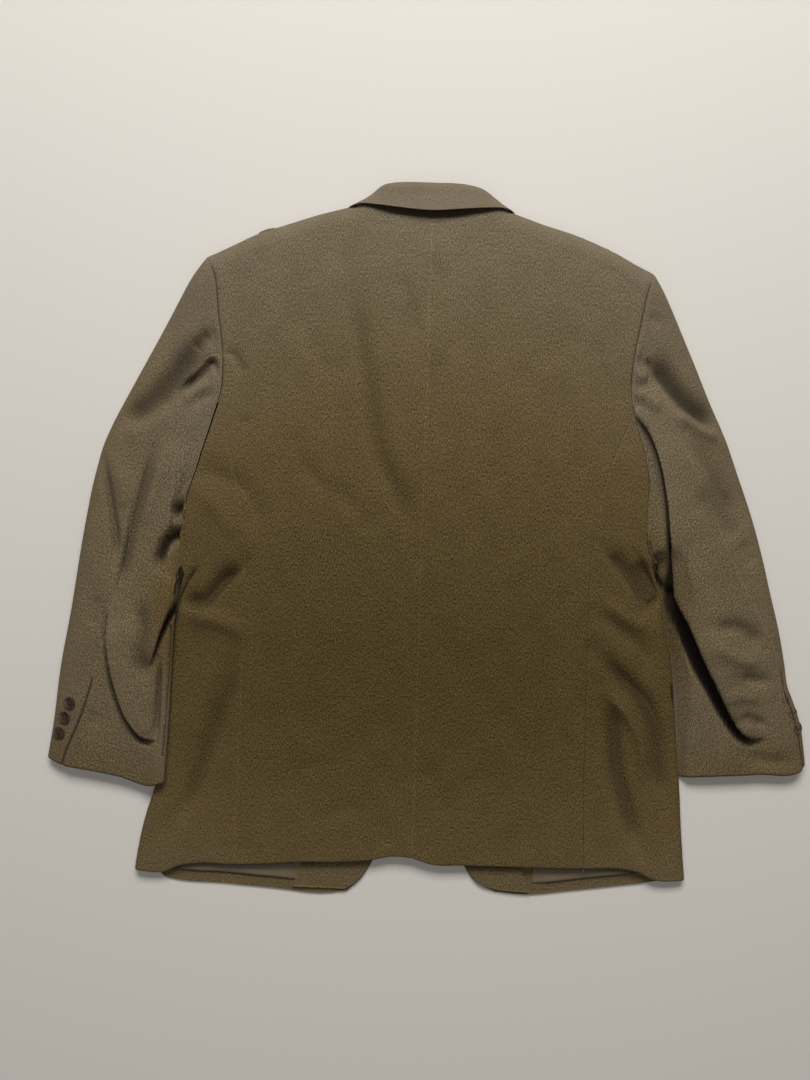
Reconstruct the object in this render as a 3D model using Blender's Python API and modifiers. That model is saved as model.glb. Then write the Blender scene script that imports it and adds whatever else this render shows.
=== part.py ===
"""A man's wool suit jacket, buttoned and laid face down, with its back up and its collar towards +Y.

Every panel that a maker would cut is a wall of cloth of its own, with a small gap at each seam.
The back is a low crowned sheet over an empty hollow. The fronts, lapels and pocket flaps lie flat
below it. The sleeves are flattened tubes. The tables hold millimetres, the meshes hold metres.
"""
import bpy
import numpy as np
from mathutils import Vector

NAME = "suit_jacket"
MM = 0.001
MIDDLE = (0.25, -6.43)  # middle of the whole outline in the tables below, put at the origin
CLOTH = 1.2             # thickness of the wool, with what is fused to it
SEAM_INSET = 0.22       # each panel stops this far short of a seam
ARMHOLE_INSET = 0.5     # the same for the sleeves at the padded armhole
FRONT_LEVEL = 3.7       # height of the fronts' outer face, over lapels, flaps and buttons
FRONT_HEM_LEVEL = 0.6   # the same where the fronts lie on the floor themselves
FRONT_FALL = (-215, -290)   # where along y the fronts come down to the floor
OVERLAP_SIDE = (45, 21)     # where along x the right front rises to lie on the left one
OVERLAP_TOP = (120, 90)     # the same along y, at the foot of the lapels
OVERLAP_FOOT = (-215, -190) # and where the fronts part towards the hem
UNDERARM_GAP = 3.6      # how far the sleeve keeps from the body's side fold at the underarm
LAYER = 0.4             # space between one layer and the next
SHOULDER_EDGE = 15.0    # height of the shoulder seam, halfway round the padded shoulder edge
SEAM_TURN = 0.6         # extra height between the back and the front where they meet edge on
SHOULDER_ROUND = 22.0   # how far the padded edge rounds in from the shoulder seam
SIDE_EDGE = 6.5         # height of the body's side fold
SIDE_ROUND = 9.0        # how far the side fold rounds in
SLEEVE_EDGE = 6.0       # height of the sleeves' side folds over the sleeve's own underside
SLEEVE_OVER_BODY = 13.5 # height of the left sleeve's underside where it lies on the body
SLEEVE_OPENS = 0.16     # share of the sleeve over which it opens out from the armhole
UNDER_WIDTH = 26.0      # how far the side panel runs in below the body

# Outlines seen from above, in millimetres: x to the right, y towards the collar.
CENTRE_X = -13.0
LEFT = dict(
    shoulder=[(-273, 317), (-243, 330), (-217, 342), (-181, 354.5), (-145, 367), (-104, 377)],
    armhole=[(-273, 317), (-263, 302), (-254, 250), (-248, 196), (-248.5, 169), (-259, 130),
             (-275, 78), (-288, 30), (-289, -4), (-286, -30), (-283, -48)],
    back_seam=[(-220, -385), (-219, -345), (-217, -225), (-216, -134), (-217, -15), (-226, 50),
               (-238, 95), (-251.5, 149)],
    side_fold=[(-336, -396), (-332, -367), (-325, -332), (-314, -297), (-302, -197), (-296, -150),
               (-289, -115), (-284.5, -85), (-283, -48)],
    neck=[(-104, 377), (-80, 379), (-45, 380), (CENTRE_X, 380)],
    hem=[(-336, -396), (-303, -397), (-282, -388), (-264, -385), (-220, -385), (-143, -380),
         (-58, -374.5), (-37, -370), (CENTRE_X, -371)],
    outer=[(-273, 317), (-286, 299), (-306, 263), (-330, 216), (-354, 169), (-378, 121),
           (-387, 98), (-393, 74), (-398, 51), (-402, 27.5), (-409, -19), (-418, -89),
           (-429, -159.5), (-436, -229.5), (-441.5, -268)],
    inner=[(-283, -48), (-290, -62), (-294, -85), (-297, -138), (-299, -214), (-302, -291)],
    cuff=[(-441.5, -268), (-424, -275), (-389, -281), (-357, -286.5), (-321, -296), (-302, -291)],
    hind_seam=[(-249, 205), (-280, 190), (-300, 159), (-325, 104), (-339, 71), (-350, -12),
               (-370, -93), (-385, -158), (-391, -182), (-397, -206), (-411, -240), (-423, -275.5)],
    front_hem=[(-314, -402), (-289, -407), (-234, -410), (-173, -414), (-112, -418), (-88, -415)],
    front_edge=[(-88, -415), (-73, -401), (-60, -381), (-41, -330), (-24, -250), (-8, -170),
                (4, -100), (8, -25), (-12, 60), (-56, 200), (-84, 290), (-104, 377)],
    facing_edge=[(-152, -414), (-141, -398), (-137, -330), (-134, -250)],
    lapel_edge=[(2, -32), (-48, 50), (-108, 150), (-147, 236)],
    roll_line=[(8, -22), (-12, 60), (-56, 200), (-77, 282)],
    flap=(-175, -294),
    cuff_buttons=[(-414, -202), (-419.5, -219), (-426, -238)],
)
RIGHT = dict(
    shoulder=[(244, 312), (223, 321.5), (202, 332.5), (177, 343), (149, 353.5), (116, 364),
              (78, 375)],
    armhole=[(244, 312), (238, 298), (229, 248), (223, 211), (222, 174), (228, 144), (240, 107),
             (246, 80), (246, 34), (248, 3), (258, -25)],
    back_seam=[(186.5, -382), (183, -249), (182.5, -187), (182, -79), (183, -14), (188, 26),
               (199, 82), (226, 152)],
    side_fold=[(306, -389), (303, -360), (300, -326), (296.5, -279), (292, -233), (287.5, -183),
               (285, -155), (275, -99), (266, -56), (258, -25)],
    neck=[(78, 375), (55, 378), (20, 380), (CENTRE_X, 380)],
    hem=[(306, -389), (270, -388.5), (250, -380), (234, -377), (186.5, -377.5), (110, -378),
         (47, -378), (10, -378), (CENTRE_X, -371)],
    outer=[(244, 312), (256, 304), (273, 270), (293, 224), (313, 178), (334.5, 132), (352, 86),
           (369, 40), (383, -6), (395, -52), (407, -98), (414, -133), (418, -156), (427, -179),
           (435, -202), (439, -225), (442, -248)],
    inner=[(258, -25), (271, -54), (278, -99), (286.2, -155), (288.7, -183),
           (293.2, -233), (297, -269)],
    cuff=[(442, -248), (435, -255), (385, -261.5), (326, -266), (297, -269)],
    hind_seam=[(227, 232), (234, 222), (251, 189), (268, 149), (284, 112), (304, 76), (327, 21),
               (362, -47), (393, -104), (410, -150), (424, -195), (434, -225), (438.5, -251.5)],
    front_hem=[(276, -392), (258, -395), (236, -398), (174, -406.5), (118, -413), (87, -411)],
    front_edge=[(87, -411), (64, -401), (48, -381), (26, -330), (6, -250), (-12, -170),
                (-24, -100), (-28, -25), (-10, 60), (31, 200), (58, 290), (78, 375)],
    facing_edge=[(124, -413), (113, -396), (110, -330), (107, -250)],
    lapel_edge=[(18, 12), (42, 60), (90, 150), (122, 236)],
    roll_line=[(10, 22), (4, 60), (31, 200), (52, 282)],
    flap=(150, 281),
    cuff_buttons=[(419, -172), (427, -189), (433, -206)],
)

# Height of the back over the floor: y, at the centre seam, at the side.
BACK_HEIGHTS = [(-400, 12.5, 10.5), (-280, 17, 11), (-150, 22, 11), (-60, 26, 13), (0, 29, 17),
                (100, 33, 24), (200, 35, 29), (300, 35, 35), (400, 33, 34)]
# Height of the sleeves' tops: share of the way to the cuff, at the middle of the sleeve.
SLEEVE_HEIGHTS = [(0.0, 30), (0.15, 32), (0.4, 29), (0.7, 25), (0.9, 18), (1.0, 15)]

# Soft troughs and ridges: height (a trough is negative), half-width, points along the fold.
BODY_FOLDS = [
    (-4.0, 16, [(-101, 262), (-84, 197), (-70, 123), (-62, 49), (-33, -10)]),
    (-2.5, 13, [(-61, 308), (-36, 244)]),
    (-2.5, 14, [(-6, 301), (7, 180), (4, 120)]),
    (-3.5, 14, [(-278, 78), (-236, 62), (-188, -20)]),
    (-6.5, 11, [(-283, -80), (-257, -82), (-218, -36)]),
    (4.0, 13, [(-290, -104), (-256, -104), (-222, -64)]),
    (-4.0, 17, [(-228, -141), (-239, -202), (-261, -257), (-290, -340)]),
    (-6.0, 11, [(205, 10), (237, -31), (251, -66), (266, -54)]),
    (4.0, 13, [(214, -52), (240, -92), (266, -92)]),
    (-5.0, 14, [(190, -116), (225, -141), (257, -168), (268, -210), (272, -247), (285, -306)]),
    (3.5, 14, [(207, -169), (236, -199), (253, -233), (266, -279)]),
    (-4.5, 14, [(205, -203), (219, -249), (230, -304), (247, -341), (257, -372)]),
]
SLEEVE_FOLDS = dict(
    left=[
        (-7.0, 13, [(-262, 225), (-307, 176), (-332, 150), (-362, 124)]),
        (-5.0, 8, [(-251, 185), (-263, 188), (-280, 173)]),
        (-4.0, 8, [(-256, 159), (-277, 147)]),
        (-6.0, 10, [(-328, 98), (-327, 71), (-338, 35), (-349, -5), (-359, -60)]),
        (-4.5, 10, [(-380, 79), (-375, 55), (-374, 15), (-367, -14), (-369, -36)]),
        (-8.0, 9, [(-296, 33), (-290, 18)]),
        (-9.0, 9, [(-290, -2), (-304, -8), (-309, -23), (-318, -38)]),
        (-7.0, 10, [(-341, -78), (-330, -120), (-329, -156), (-324, -174)]),
        (-5.0, 9, [(-311, -147), (-313, -198), (-313, -244)]),
    ],
    right=[
        (-7.0, 13, [(229, 220), (260, 193), (289, 164), (320, 137)]),
        (-4.0, 8, [(228, 182), (250, 186)]),
        (-4.0, 13, [(296, 122), (335, 77), (357, 47)]),
        (-3.5, 13, [(330, -81), (361, -86), (392, -100)]),
        (-3.5, 12, [(357, -142), (394, -144)]),
        (-4.0, 10, [(363, -189), (391, -197)]),
    ],
)
# Overlapping folds: height of the raised side, width of its steep wall, reach of the raised
# side, points along the toe with the raised side on the left of the way along them.
SLEEVE_STEPS = dict(
    left=[
        (9.0, 10, 60, [(-377, -88), (-374, -125), (-363, -170), (-350, -212), (-328, -244),
                       (-314, -250)]),
        (9.0, 10, 55, [(-326, -150), (-311, -114), (-297, -80), (-281, -58)]),
    ],
    right=[
        (12.0, 9, 75, [(232, 146), (247, 134), (261, 109), (270, 66), (277, 20), (283, -26),
                       (286, -56), (301, -80), (318, -122), (345, -168), (364, -204),
                       (384, -217), (399, -214)]),
    ],
)

# Collar, from the wearer's left front round the neck to the right: the neck seam, the fold at
# the top of the stand, the leaf's edge, and the way that the leaf faces.
COLLAR = [
    ((-86, 292, 6.2), (-72, 294, 4.6), (-120, 266, 0.8), (0, 0, -1)),
    ((-98, 340, 6.2), (-82, 344, 4.6), (-126, 318, 0.8), (0, 0, -1)),
    ((-103, 362, 8.0), (-88, 370, 7.5), (-117, 361, 1.0), (-0.2, 0, -0.95)),
    ((-102, 373, 12.0), (-88, 384, 12.0), (-113.5, 378, 9.0), (-0.5, 0.35, -0.7)),
    ((-99, 379, 15.5), (-87, 389, 17.0), (-109, 381.5, 17.0), (-0.6, 0.6, 0.5)),
    ((-84, 382, 25.0), (-70, 399, 28.0), (-93, 380, 38.0), (-0.25, 0.1, 0.96)),
    ((-52, 383, 32.0), (-50, 402.5, 34.0), (-54, 376, 45.0), (0, 0, 1)),
    ((-13, 383, 34.0), (-13, 403, 35.0), (-13, 373.5, 46.0), (0, 0, 1)),
    ((26, 383, 32.0), (24, 402.5, 34.0), (28, 377, 45.0), (0, 0, 1)),
    ((58, 380, 25.0), (43, 398, 28.0), (66, 380, 38.0), (0.25, 0.1, 0.96)),
    ((73, 377, 15.5), (61, 388, 17.0), (83, 379, 17.0), (0.6, 0.6, 0.5)),
    ((76, 371, 12.0), (62, 382, 12.0), (88, 376, 9.0), (0.5, 0.35, -0.7)),
    ((77, 360, 8.0), (62, 368, 7.5), (91, 359, 1.0), (0.2, 0, -0.95)),
    ((72, 338, 6.2), (56, 342, 4.6), (100, 316, 0.8), (0, 0, -1)),
    ((60, 292, 6.2), (46, 294, 4.6), (94, 266, 0.8), (0, 0, -1)),
]
COLLAR_TURN = 2.4       # half the depth of the collar's fold

LAPEL_THICKNESS = 2.4   # two layers of wool
FLAP_THICKNESS = 2.0    # wool and its lining
FACING_THICKNESS = 1.0
LINING_THICKNESS = 1.0
FACING_TOP = -250.0     # the facings and the lining run this far up inside the open hem
LINING_TOP = -320.0
EDGE_ROLL = 2.0         # how far a facing keeps inside the front edge
HEM_ROLL = 3.0          # and above the hem
LINING_RISE = 13.0      # the wool hem that shows below the lining
FLAP_TOP = -138.0
FLAP_DEPTH = 50.0
FLAP_SLANT = 6.0        # how much higher a flap's end lies at the side

BUTTON_SLEEVE = 15.0    # diameters
BUTTON_FRONT = 20.0
BUTTON_DEPTH = 3.2
BUTTON_SHANK = 1.0      # thread between a sleeve button and the cloth
FRONT_BUTTONS = [(-12, -40), (-12, -140)]

SEAM_ROWS = 20          # rows of cells from the hem to the armhole
SLEEVE_ROWS = 26
HEM_COLUMNS, SHOULDER_COLUMNS = 5, 7    # cells of a back half under the neck and the shoulder
FRONT_COLUMNS = 8
COLLAR_ROWS = 28
BUTTON_STEPS = 16
# Shares of the way across at which the panels have points, closer together at folds and seams.
SIDE_UNDER = (0.08, 0.3, 0.65, 1.0)
TOP_SLEEVE = np.array([0, 0.015, 0.06, 0.14, 0.3, 0.5, 0.72, 1.0])
UNDER_SLEEVE = np.array([0.2, 0.42, 0.64, 0.82, 0.94, 0.985, 1.0])
COLLAR_SECTION = np.array([0, 0.2, 0.38, 0.46, 0.5, 0.54, 0.62, 0.8, 1.0])
# Shares of the armhole, from its top, at which the sleeve's underside and the front have points.
UNDERARM_SHARES = np.array([0.97, 0.9])
BELOW_SHARES = np.array([0.9, 0.82, 0.7, 0.55, 0.4, 0.26, 0.13, 0.055, 0.024, 0.006, 0.0])
COLOURS = dict(wool=(0.115, 0.092, 0.055), lining=(0.085, 0.066, 0.045), horn=(0.045, 0.03, 0.02))


# ---------------------------------------------------------------- curves and heights
def along(points, shares):
    """Points at the given shares of the length of a smooth curve through some points."""
    p = np.asarray(points, float)
    knots = np.concatenate([[0], np.cumsum(np.linalg.norm(np.diff(p, axis=0), axis=1))])
    knots /= knots[-1]
    slopes = np.gradient(p, knots, axis=0)
    shares = np.asarray(shares, float)
    k = np.clip(np.searchsorted(knots, shares, side="right") - 1, 0, len(p) - 2)
    h = (knots[k + 1] - knots[k])[:, None]
    t = ((shares - knots[k]) / (knots[k + 1] - knots[k]))[:, None]
    return ((2 * t**3 - 3 * t**2 + 1) * p[k] + (t**3 - 2 * t**2 + t) * h * slopes[k]
            + (3 * t**2 - 2 * t**3) * p[k + 1] + (t**3 - t**2) * h * slopes[k + 1])


def distance(points, line):
    """Distance of each point from a line of points, its side (left is positive) and its share."""
    line = np.asarray(line, float)
    flat = points.reshape(-1, 2)
    lengths = np.linalg.norm(np.diff(line, axis=0), axis=1)
    starts = np.concatenate([[0], np.cumsum(lengths)])
    best = np.full(len(flat), 1e9)
    side = np.ones(len(flat))
    share = np.zeros(len(flat))
    for k, length in enumerate(lengths):
        way = (line[k + 1] - line[k]) / length
        off = flat - line[k]
        t = np.clip(off @ way, 0, length)
        gap = np.linalg.norm(off - t[:, None] * way, axis=1)
        near = gap < best
        best[near] = gap[near]
        side[near] = np.sign(way[0] * off[near, 1] - way[1] * off[near, 0])
        share[near] = (starts[k] + t[near]) / starts[-1]
    shape = points.shape[:-1]
    return best.reshape(shape), side.reshape(shape), share.reshape(shape)


def ease(t):
    """Smooth rise from 0 to 1."""
    t = np.clip(t, 0, 1)
    return t * t * (3 - 2 * t)


def ramp(value, span):
    """Smooth rise from 0 at a span's start to 1 at its end."""
    return ease((value - span[0]) / (span[1] - span[0]))


def length_of(line):
    return np.linalg.norm(np.diff(np.asarray(line, float), axis=0), axis=1).sum()


def shares_of(points):
    """The share of a line's length at which each of its points lies."""
    steps = np.linalg.norm(np.diff(points, axis=0), axis=1)
    return np.concatenate([[0], np.cumsum(steps)]) / steps.sum()


def share_at(line, point):
    """The share of a curve's length that lies nearest to a point."""
    dense = along(line, np.linspace(0, 1, 2001))
    return np.argmin(np.linalg.norm(dense - np.array(point, float), axis=1)) / 2000


def fade(share):
    """Full strength along the middle of a fold and none at its two ends."""
    return ease(share / 0.22) * ease((1 - share) / 0.22)


def fold_height(points, folds):
    """Height that soft troughs and ridges add at each point."""
    total = np.zeros(points.shape[:-1])
    for height, width, line in folds:
        line = along(line, np.linspace(0, 1, 24))
        gap, _, share = distance(points, line)
        total += height * np.exp(-(gap / width) ** 2) * (0.35 + 0.65 * fade(share))
    return total


def step_height(points, steps):
    """Height that overlapping folds add: a steep wall, then a long fall on the raised side."""
    total = np.zeros(points.shape[:-1])
    for height, wall, reach, line in steps:
        line = along(line, np.linspace(0, 1, 40))
        gap, side, share = distance(points, line)
        up = side * gap
        raised = height * ease(up / wall) * np.exp(-(np.maximum(up - wall, 0) / reach) ** 2)
        toe = -0.45 * height * np.exp(-(up / (0.8 * wall)) ** 2)
        total += (raised + toe) * fade(share)
    return total


def rounding(gap, reach):
    """Quarter-round from 0 at an edge to 1 at its reach."""
    t = 1 - np.clip(gap / reach, 0, 1)
    return np.sqrt(np.maximum(1 - t * t, 0))


def side_limit(side, y):
    """Where the body ends at each height, along the armhole and then the side fold."""
    line = np.array(side["side_fold"] + side["armhole"][::-1][1:], float)
    return np.interp(y, line[:, 1], line[:, 0])


def back_height(points):
    """Height of the back's outer face at each point, rounded over at shoulders and sides."""
    x, y = points[..., 0], points[..., 1]
    rows = np.array(BACK_HEIGHTS)
    crown = np.interp(y, rows[:, 0], rows[:, 1])
    edge = np.interp(y, rows[:, 0], rows[:, 2])
    limit = np.where(x < CENTRE_X, side_limit(LEFT, y), side_limit(RIGHT, y))
    out = np.clip((x - CENTRE_X) / (limit - CENTRE_X), 0, 1)
    top = edge + (crown - edge) * (1 - out ** 2.6) + fold_height(points, BODY_FOLDS)
    for side in (LEFT, RIGHT):
        gap, _, _ = distance(points, side["shoulder"])
        edge = SHOULDER_EDGE + SEAM_TURN
        top = edge + (top - edge) * rounding(gap, SHOULDER_ROUND)
        gap, _, _ = distance(points, side["side_fold"])
        top = SIDE_EDGE + (top - SIDE_EDGE) * rounding(gap, SIDE_ROUND)
    return top


def front_height(points):
    """Height of the fronts' outer face, which lies flat and turns up to the shoulder edge."""
    fall = ramp(points[..., 1], FRONT_FALL)
    under = FRONT_LEVEL + (FRONT_HEM_LEVEL - FRONT_LEVEL) * fall
    for side in (LEFT, RIGHT):
        gap, _, _ = distance(points, side["shoulder"])
        edge = SHOULDER_EDGE - SEAM_TURN
        under = edge + (under - edge) * rounding(gap, SHOULDER_ROUND)
        gap, _, _ = distance(points, side["side_fold"])
        under = SIDE_EDGE + (under - SIDE_EDGE) * rounding(gap, SIDE_ROUND)
    return under


def spread(bottom, top, left, right, across, up):
    """Grid of plan points between four edges, at the given shares across and up."""
    u, v = across[None, :, None], up[:, None, None]
    corners = ((1 - u) * (1 - v) * bottom[0] + u * (1 - v) * bottom[-1]
               + (1 - u) * v * top[0] + u * v * top[-1])
    return ((1 - v) * bottom[None] + v * top[None] + (1 - u) * left[:, None]
            + u * right[:, None] - corners)


# ---------------------------------------------------------------- panels as solids
def inset(grid, first=SEAM_INSET):
    """Draw the four edges of a grid of points in, square to the seams that they make."""
    moved = grid.copy()
    edges = ((np.s_[0], np.s_[1], first), (np.s_[-1], np.s_[-2], SEAM_INSET),
             (np.s_[:, 0], np.s_[:, 1], SEAM_INSET), (np.s_[:, -1], np.s_[:, -2], SEAM_INSET))
    for edge, inner, amount in edges:
        tangent = np.gradient(grid[edge], axis=0)
        tangent /= np.linalg.norm(tangent, axis=-1, keepdims=True)
        way = grid[inner] - grid[edge]
        way -= (way * tangent).sum(axis=-1, keepdims=True) * tangent
        moved[edge] += way / np.linalg.norm(way, axis=-1, keepdims=True) * amount
    return moved


def material_named(name):
    made = bpy.data.materials.get(name)
    if made:
        return made
    made = bpy.data.materials.new(name)
    made.use_nodes = True
    shader = made.node_tree.nodes["Principled BSDF"]
    shader.inputs["Base Color"].default_value = (*COLOURS[name], 1)
    shader.inputs["Roughness"].default_value = 0.9 if name == "wool" else 0.45
    shader.inputs["Metallic"].default_value = 0.0
    return made


def panel(name, grid, material="wool", thickness=CLOTH, offset=-1.0, flip=False):
    """A wall of cloth: a grid bent to the given rows and columns of points, then thickened."""
    rows, columns = grid.shape[:2]
    bpy.ops.mesh.primitive_grid_add(x_subdivisions=columns - 1, y_subdivisions=rows - 1)
    made = bpy.context.object
    made.name = name
    made.data.name = name
    placed = (grid - [*MIDDLE, 0]) * MM
    made.data.vertices.foreach_set("co", placed.astype(np.float32).ravel())
    if flip:
        made.data.flip_normals()
    made.data.update()
    made.data.shade_smooth()
    made.data.materials.append(material_named(material))
    wall = made.modifiers.new("cloth", "SOLIDIFY")
    wall.thickness = thickness * MM
    wall.offset = offset
    for user in list(made.users_collection):
        user.objects.unlink(made)
    jacket.objects.link(made)
    return made


# ---------------------------------------------------------------- the pieces
def back_panel(name, side, armhole_shares, junction):
    """Half of the back, from the centre seam to the side seam and the armhole."""
    seam = along(side["back_seam"], np.linspace(0, 1, SEAM_ROWS + 1))
    armhole = along(side["armhole"], armhole_shares[armhole_shares <= junction + 1e-9])[::-1]
    outer = np.vstack([seam, armhole[1:]])
    up = shares_of(outer)
    split = length_of(side["neck"]) / (length_of(side["neck"]) + length_of(side["shoulder"]))
    across = np.concatenate([np.linspace(0, split, HEM_COLUMNS + 1),
                             np.linspace(split, 1, SHOULDER_COLUMNS + 1)[1:]])
    bottom = along(side["hem"], 1 - (1 - share_at(side["hem"], seam[0])) * across)
    bottom[-1] = seam[0]
    neck = along(side["neck"], 1 - np.linspace(0, 1, HEM_COLUMNS + 1))
    shoulder = along(side["shoulder"], 1 - np.linspace(0, 1, SHOULDER_COLUMNS + 1))
    top = np.vstack([neck, shoulder[1:]])
    centre = bottom[0] + up[:, None] * (top[0] - bottom[0])
    plan = spread(bottom, top, centre, outer, across, up)
    return panel(name, inset(np.dstack([plan, back_height(plan)])), flip=side is LEFT)


def side_panel(name, side, armhole_shares, junction):
    """From the back's seam round the side fold to the front's seam on the underside."""
    up = np.linspace(0, 1, SEAM_ROWS + 1)
    seam = along(side["back_seam"], up)
    fold = along(side["side_fold"], up)
    shares = armhole_shares[armhole_shares >= junction - 1e-9]
    top = along(side["armhole"], shares)
    across = (shares - junction) / (1 - junction)
    bottom = along(side["hem"], share_at(side["hem"], seam[0]) * (1 - across))
    bottom[0] = seam[0]
    plan = spread(bottom, top, seam, fold, across, up)
    upper = np.dstack([plan, back_height(plan)])
    inward = np.sign(CENTRE_X - fold[:, 0])
    width = UNDER_WIDTH * (1 - 0.75 * up ** 6)
    lower = []
    for share in SIDE_UNDER:
        points = fold + np.stack([inward * width * share, np.zeros(len(up))], axis=1)
        lower.append(np.column_stack([points, front_height(points)]))
    grid = np.concatenate([upper, np.stack(lower, axis=1)], axis=1)
    panel(name, inset(grid), flip=side is LEFT)
    return grid[:, -1, :2]


def front_panel(name, side, under_seam, overlaps):
    """From the side seam and armhole to the front edge, lying flat on its outer face."""
    armhole = along(side["armhole"], np.concatenate([UNDERARM_SHARES, BELOW_SHARES[1:]]))
    outer = np.vstack([under_seam, armhole])
    up = shares_of(outer)
    across = np.linspace(0, 1, FRONT_COLUMNS + 1)
    bottom = along(side["front_hem"], across)
    bottom[0] = outer[0]
    edge = along(side["front_edge"], up)
    top = along(side["shoulder"], across)
    top[-1] = edge[-1]
    plan = spread(bottom, top, outer, edge, across, up)
    height = front_height(plan)
    if overlaps:
        x, y = plan[..., 0], plan[..., 1]
        over = ramp(x, OVERLAP_SIDE) * ramp(y, OVERLAP_TOP) * ramp(y, OVERLAP_FOOT)
        height += (CLOTH + LAYER) * over
    return panel(name, inset(np.dstack([plan, height])), flip=side is LEFT)


def strip(edge_a, edge_b, rows, columns):
    """Plan points of a strip between two edges that run side by side."""
    shares = np.linspace(0, 1, rows)
    a, b = along(edge_a, shares)[:, None], along(edge_b, shares)[:, None]
    across = np.linspace(0, 1, columns)[None, :, None]
    return a * (1 - across) + b * across


def lapel_panel(name, side):
    """The lapel, folded back under the front and flat on the floor."""
    plan = strip(side["roll_line"], side["lapel_edge"], 12, 5)
    grid = np.dstack([plan, np.zeros(plan.shape[:2])])
    return panel(name, grid, thickness=LAPEL_THICKNESS, flip=side is RIGHT)


def facing_panel(name, side):
    """The wool strip inside the front edge, as far up as the open hem shows it."""
    edge = np.array([p for p in side["front_edge"] if p[1] <= FACING_TOP], float)
    inner = np.array(side["facing_edge"], float)
    edge[:, 0] += np.sign(edge[:, 0] - CENTRE_X) * EDGE_ROLL
    edge[0, 1] += HEM_ROLL
    inner[0, 1] += HEM_ROLL
    plan = strip(edge, inner, 10, 5)
    grid = np.dstack([plan, front_height(plan) + CLOTH + LAYER])
    return panel(name, grid, thickness=FACING_THICKNESS, flip=side is RIGHT)


def lining_panel(name, side):
    """The satin inside the front's hem, between the facing and the side seam."""
    hem = along(side["front_hem"], np.linspace(0.06, 0.74, 9)) + [0, LINING_RISE]
    top = np.column_stack([hem[:, 0], np.full(len(hem), LINING_TOP)])
    across = np.linspace(0, 1, 7)[None, :, None]
    plan = hem[:, None] * (1 - across) + top[:, None] * across
    grid = np.dstack([plan, front_height(plan) + CLOTH + LAYER])
    return panel(name, grid, "lining", LINING_THICKNESS, flip=side is RIGHT)


def flap_panel(name, side):
    """The hip pocket's flap, flat on the floor below the front."""
    near, far = side["flap"]
    top = [(near, FLAP_TOP), ((near + far) / 2, FLAP_TOP + FLAP_SLANT / 2),
           (far, FLAP_TOP + FLAP_SLANT)]
    low = [(x, y - FLAP_DEPTH) for x, y in top]
    plan = strip(top, low, 7, 3)
    grid = np.dstack([plan, np.zeros(plan.shape[:2])])
    return panel(name, grid, thickness=FLAP_THICKNESS, flip=side is RIGHT)


class Sleeve:
    """A flattened tube from the armhole to the cuff, with its folds."""

    def __init__(self, side, key):
        self.side, self.key = side, key
        self.over = SLEEVE_OVER_BODY if key == "left" else 0.0

    def plan(self, s, t):
        """Plan points at shares s of the way to the cuff and t across, from the outer edge."""
        arm = along(self.side["armhole"], t.ravel()).reshape(*t.shape, 2)
        cuff = along(self.side["cuff"], t.ravel()).reshape(*t.shape, 2)
        outer = along(self.side["outer"], s.ravel()).reshape(*s.shape, 2)
        inner = along(self.side["inner"], s.ravel()).reshape(*s.shape, 2)
        s, t = s[..., None], t[..., None]
        a, c = np.array(self.side["armhole"], float), np.array(self.side["cuff"], float)
        early = (1 - s) ** 4
        corners = (early * (1 - t) * a[0] + (1 - early) * (1 - t) * c[0]
                   + early * t * a[-1] + (1 - early) * t * c[-1])
        clear = UNDERARM_GAP * ease((t - 0.86) / 0.14) * (1 - ease(s / 0.14))
        plan = early * arm + (1 - early) * cuff + (1 - t) * outer + t * inner - corners
        return plan + clear * np.array([np.sign(a[0, 0]), 0.0])

    def point(self, s, q):
        """Points at shares s to the cuff and q around: 0 to 1 over the top, 1 to 2 below."""
        t = np.where(q <= 1, q, 2 - q)
        plan = self.plan(s, t)
        blend = ease(s / SLEEVE_OPENS)
        rows = np.array(SLEEVE_HEIGHTS)
        crown = np.interp(s, rows[:, 0], rows[:, 1])
        under = self.over * ease((t - 0.72) / 0.25) * ease((s - 0.03) / 0.2)
        edge = under + SLEEVE_EDGE * (1 - 0.25 * t)
        across = np.abs(2 * t - 1)
        top_round = (1 - across ** 3) ** (1 / 3)
        under_round = (1 - across ** 7) ** (1 / 7)
        shaped = np.maximum(crown - 0.25 * (crown - 12) * t, edge + 6)
        folds = (fold_height(plan, SLEEVE_FOLDS[self.key])
                 + step_height(plan, SLEEVE_STEPS[self.key]))
        tube_top = edge + (np.maximum(shaped + folds, under + 6) - edge) * top_round
        tube_under = edge - (edge - under) * under_round
        armhole = self.plan(np.zeros_like(s), t)
        top = (1 - blend) * back_height(armhole) + blend * tube_top
        below = (1 - blend) * front_height(armhole) + blend * tube_under
        return np.dstack([plan, np.where(q <= 1, top, below)])

    def seam_shares(self, line):
        """The share across at which a line drawn on the sleeve lies, for each share along."""
        s, t = np.meshgrid(np.linspace(0, 1, 240), np.linspace(0, 1, 160), indexing="ij")
        plan = self.plan(s, t).reshape(-1, 2)
        found = []
        for point in along(line, np.linspace(0, 1, 60)):
            k = np.argmin(np.linalg.norm(plan - point, axis=1))
            found.append((s.ravel()[k], t.ravel()[k]))
        return np.array(sorted(found))


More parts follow.
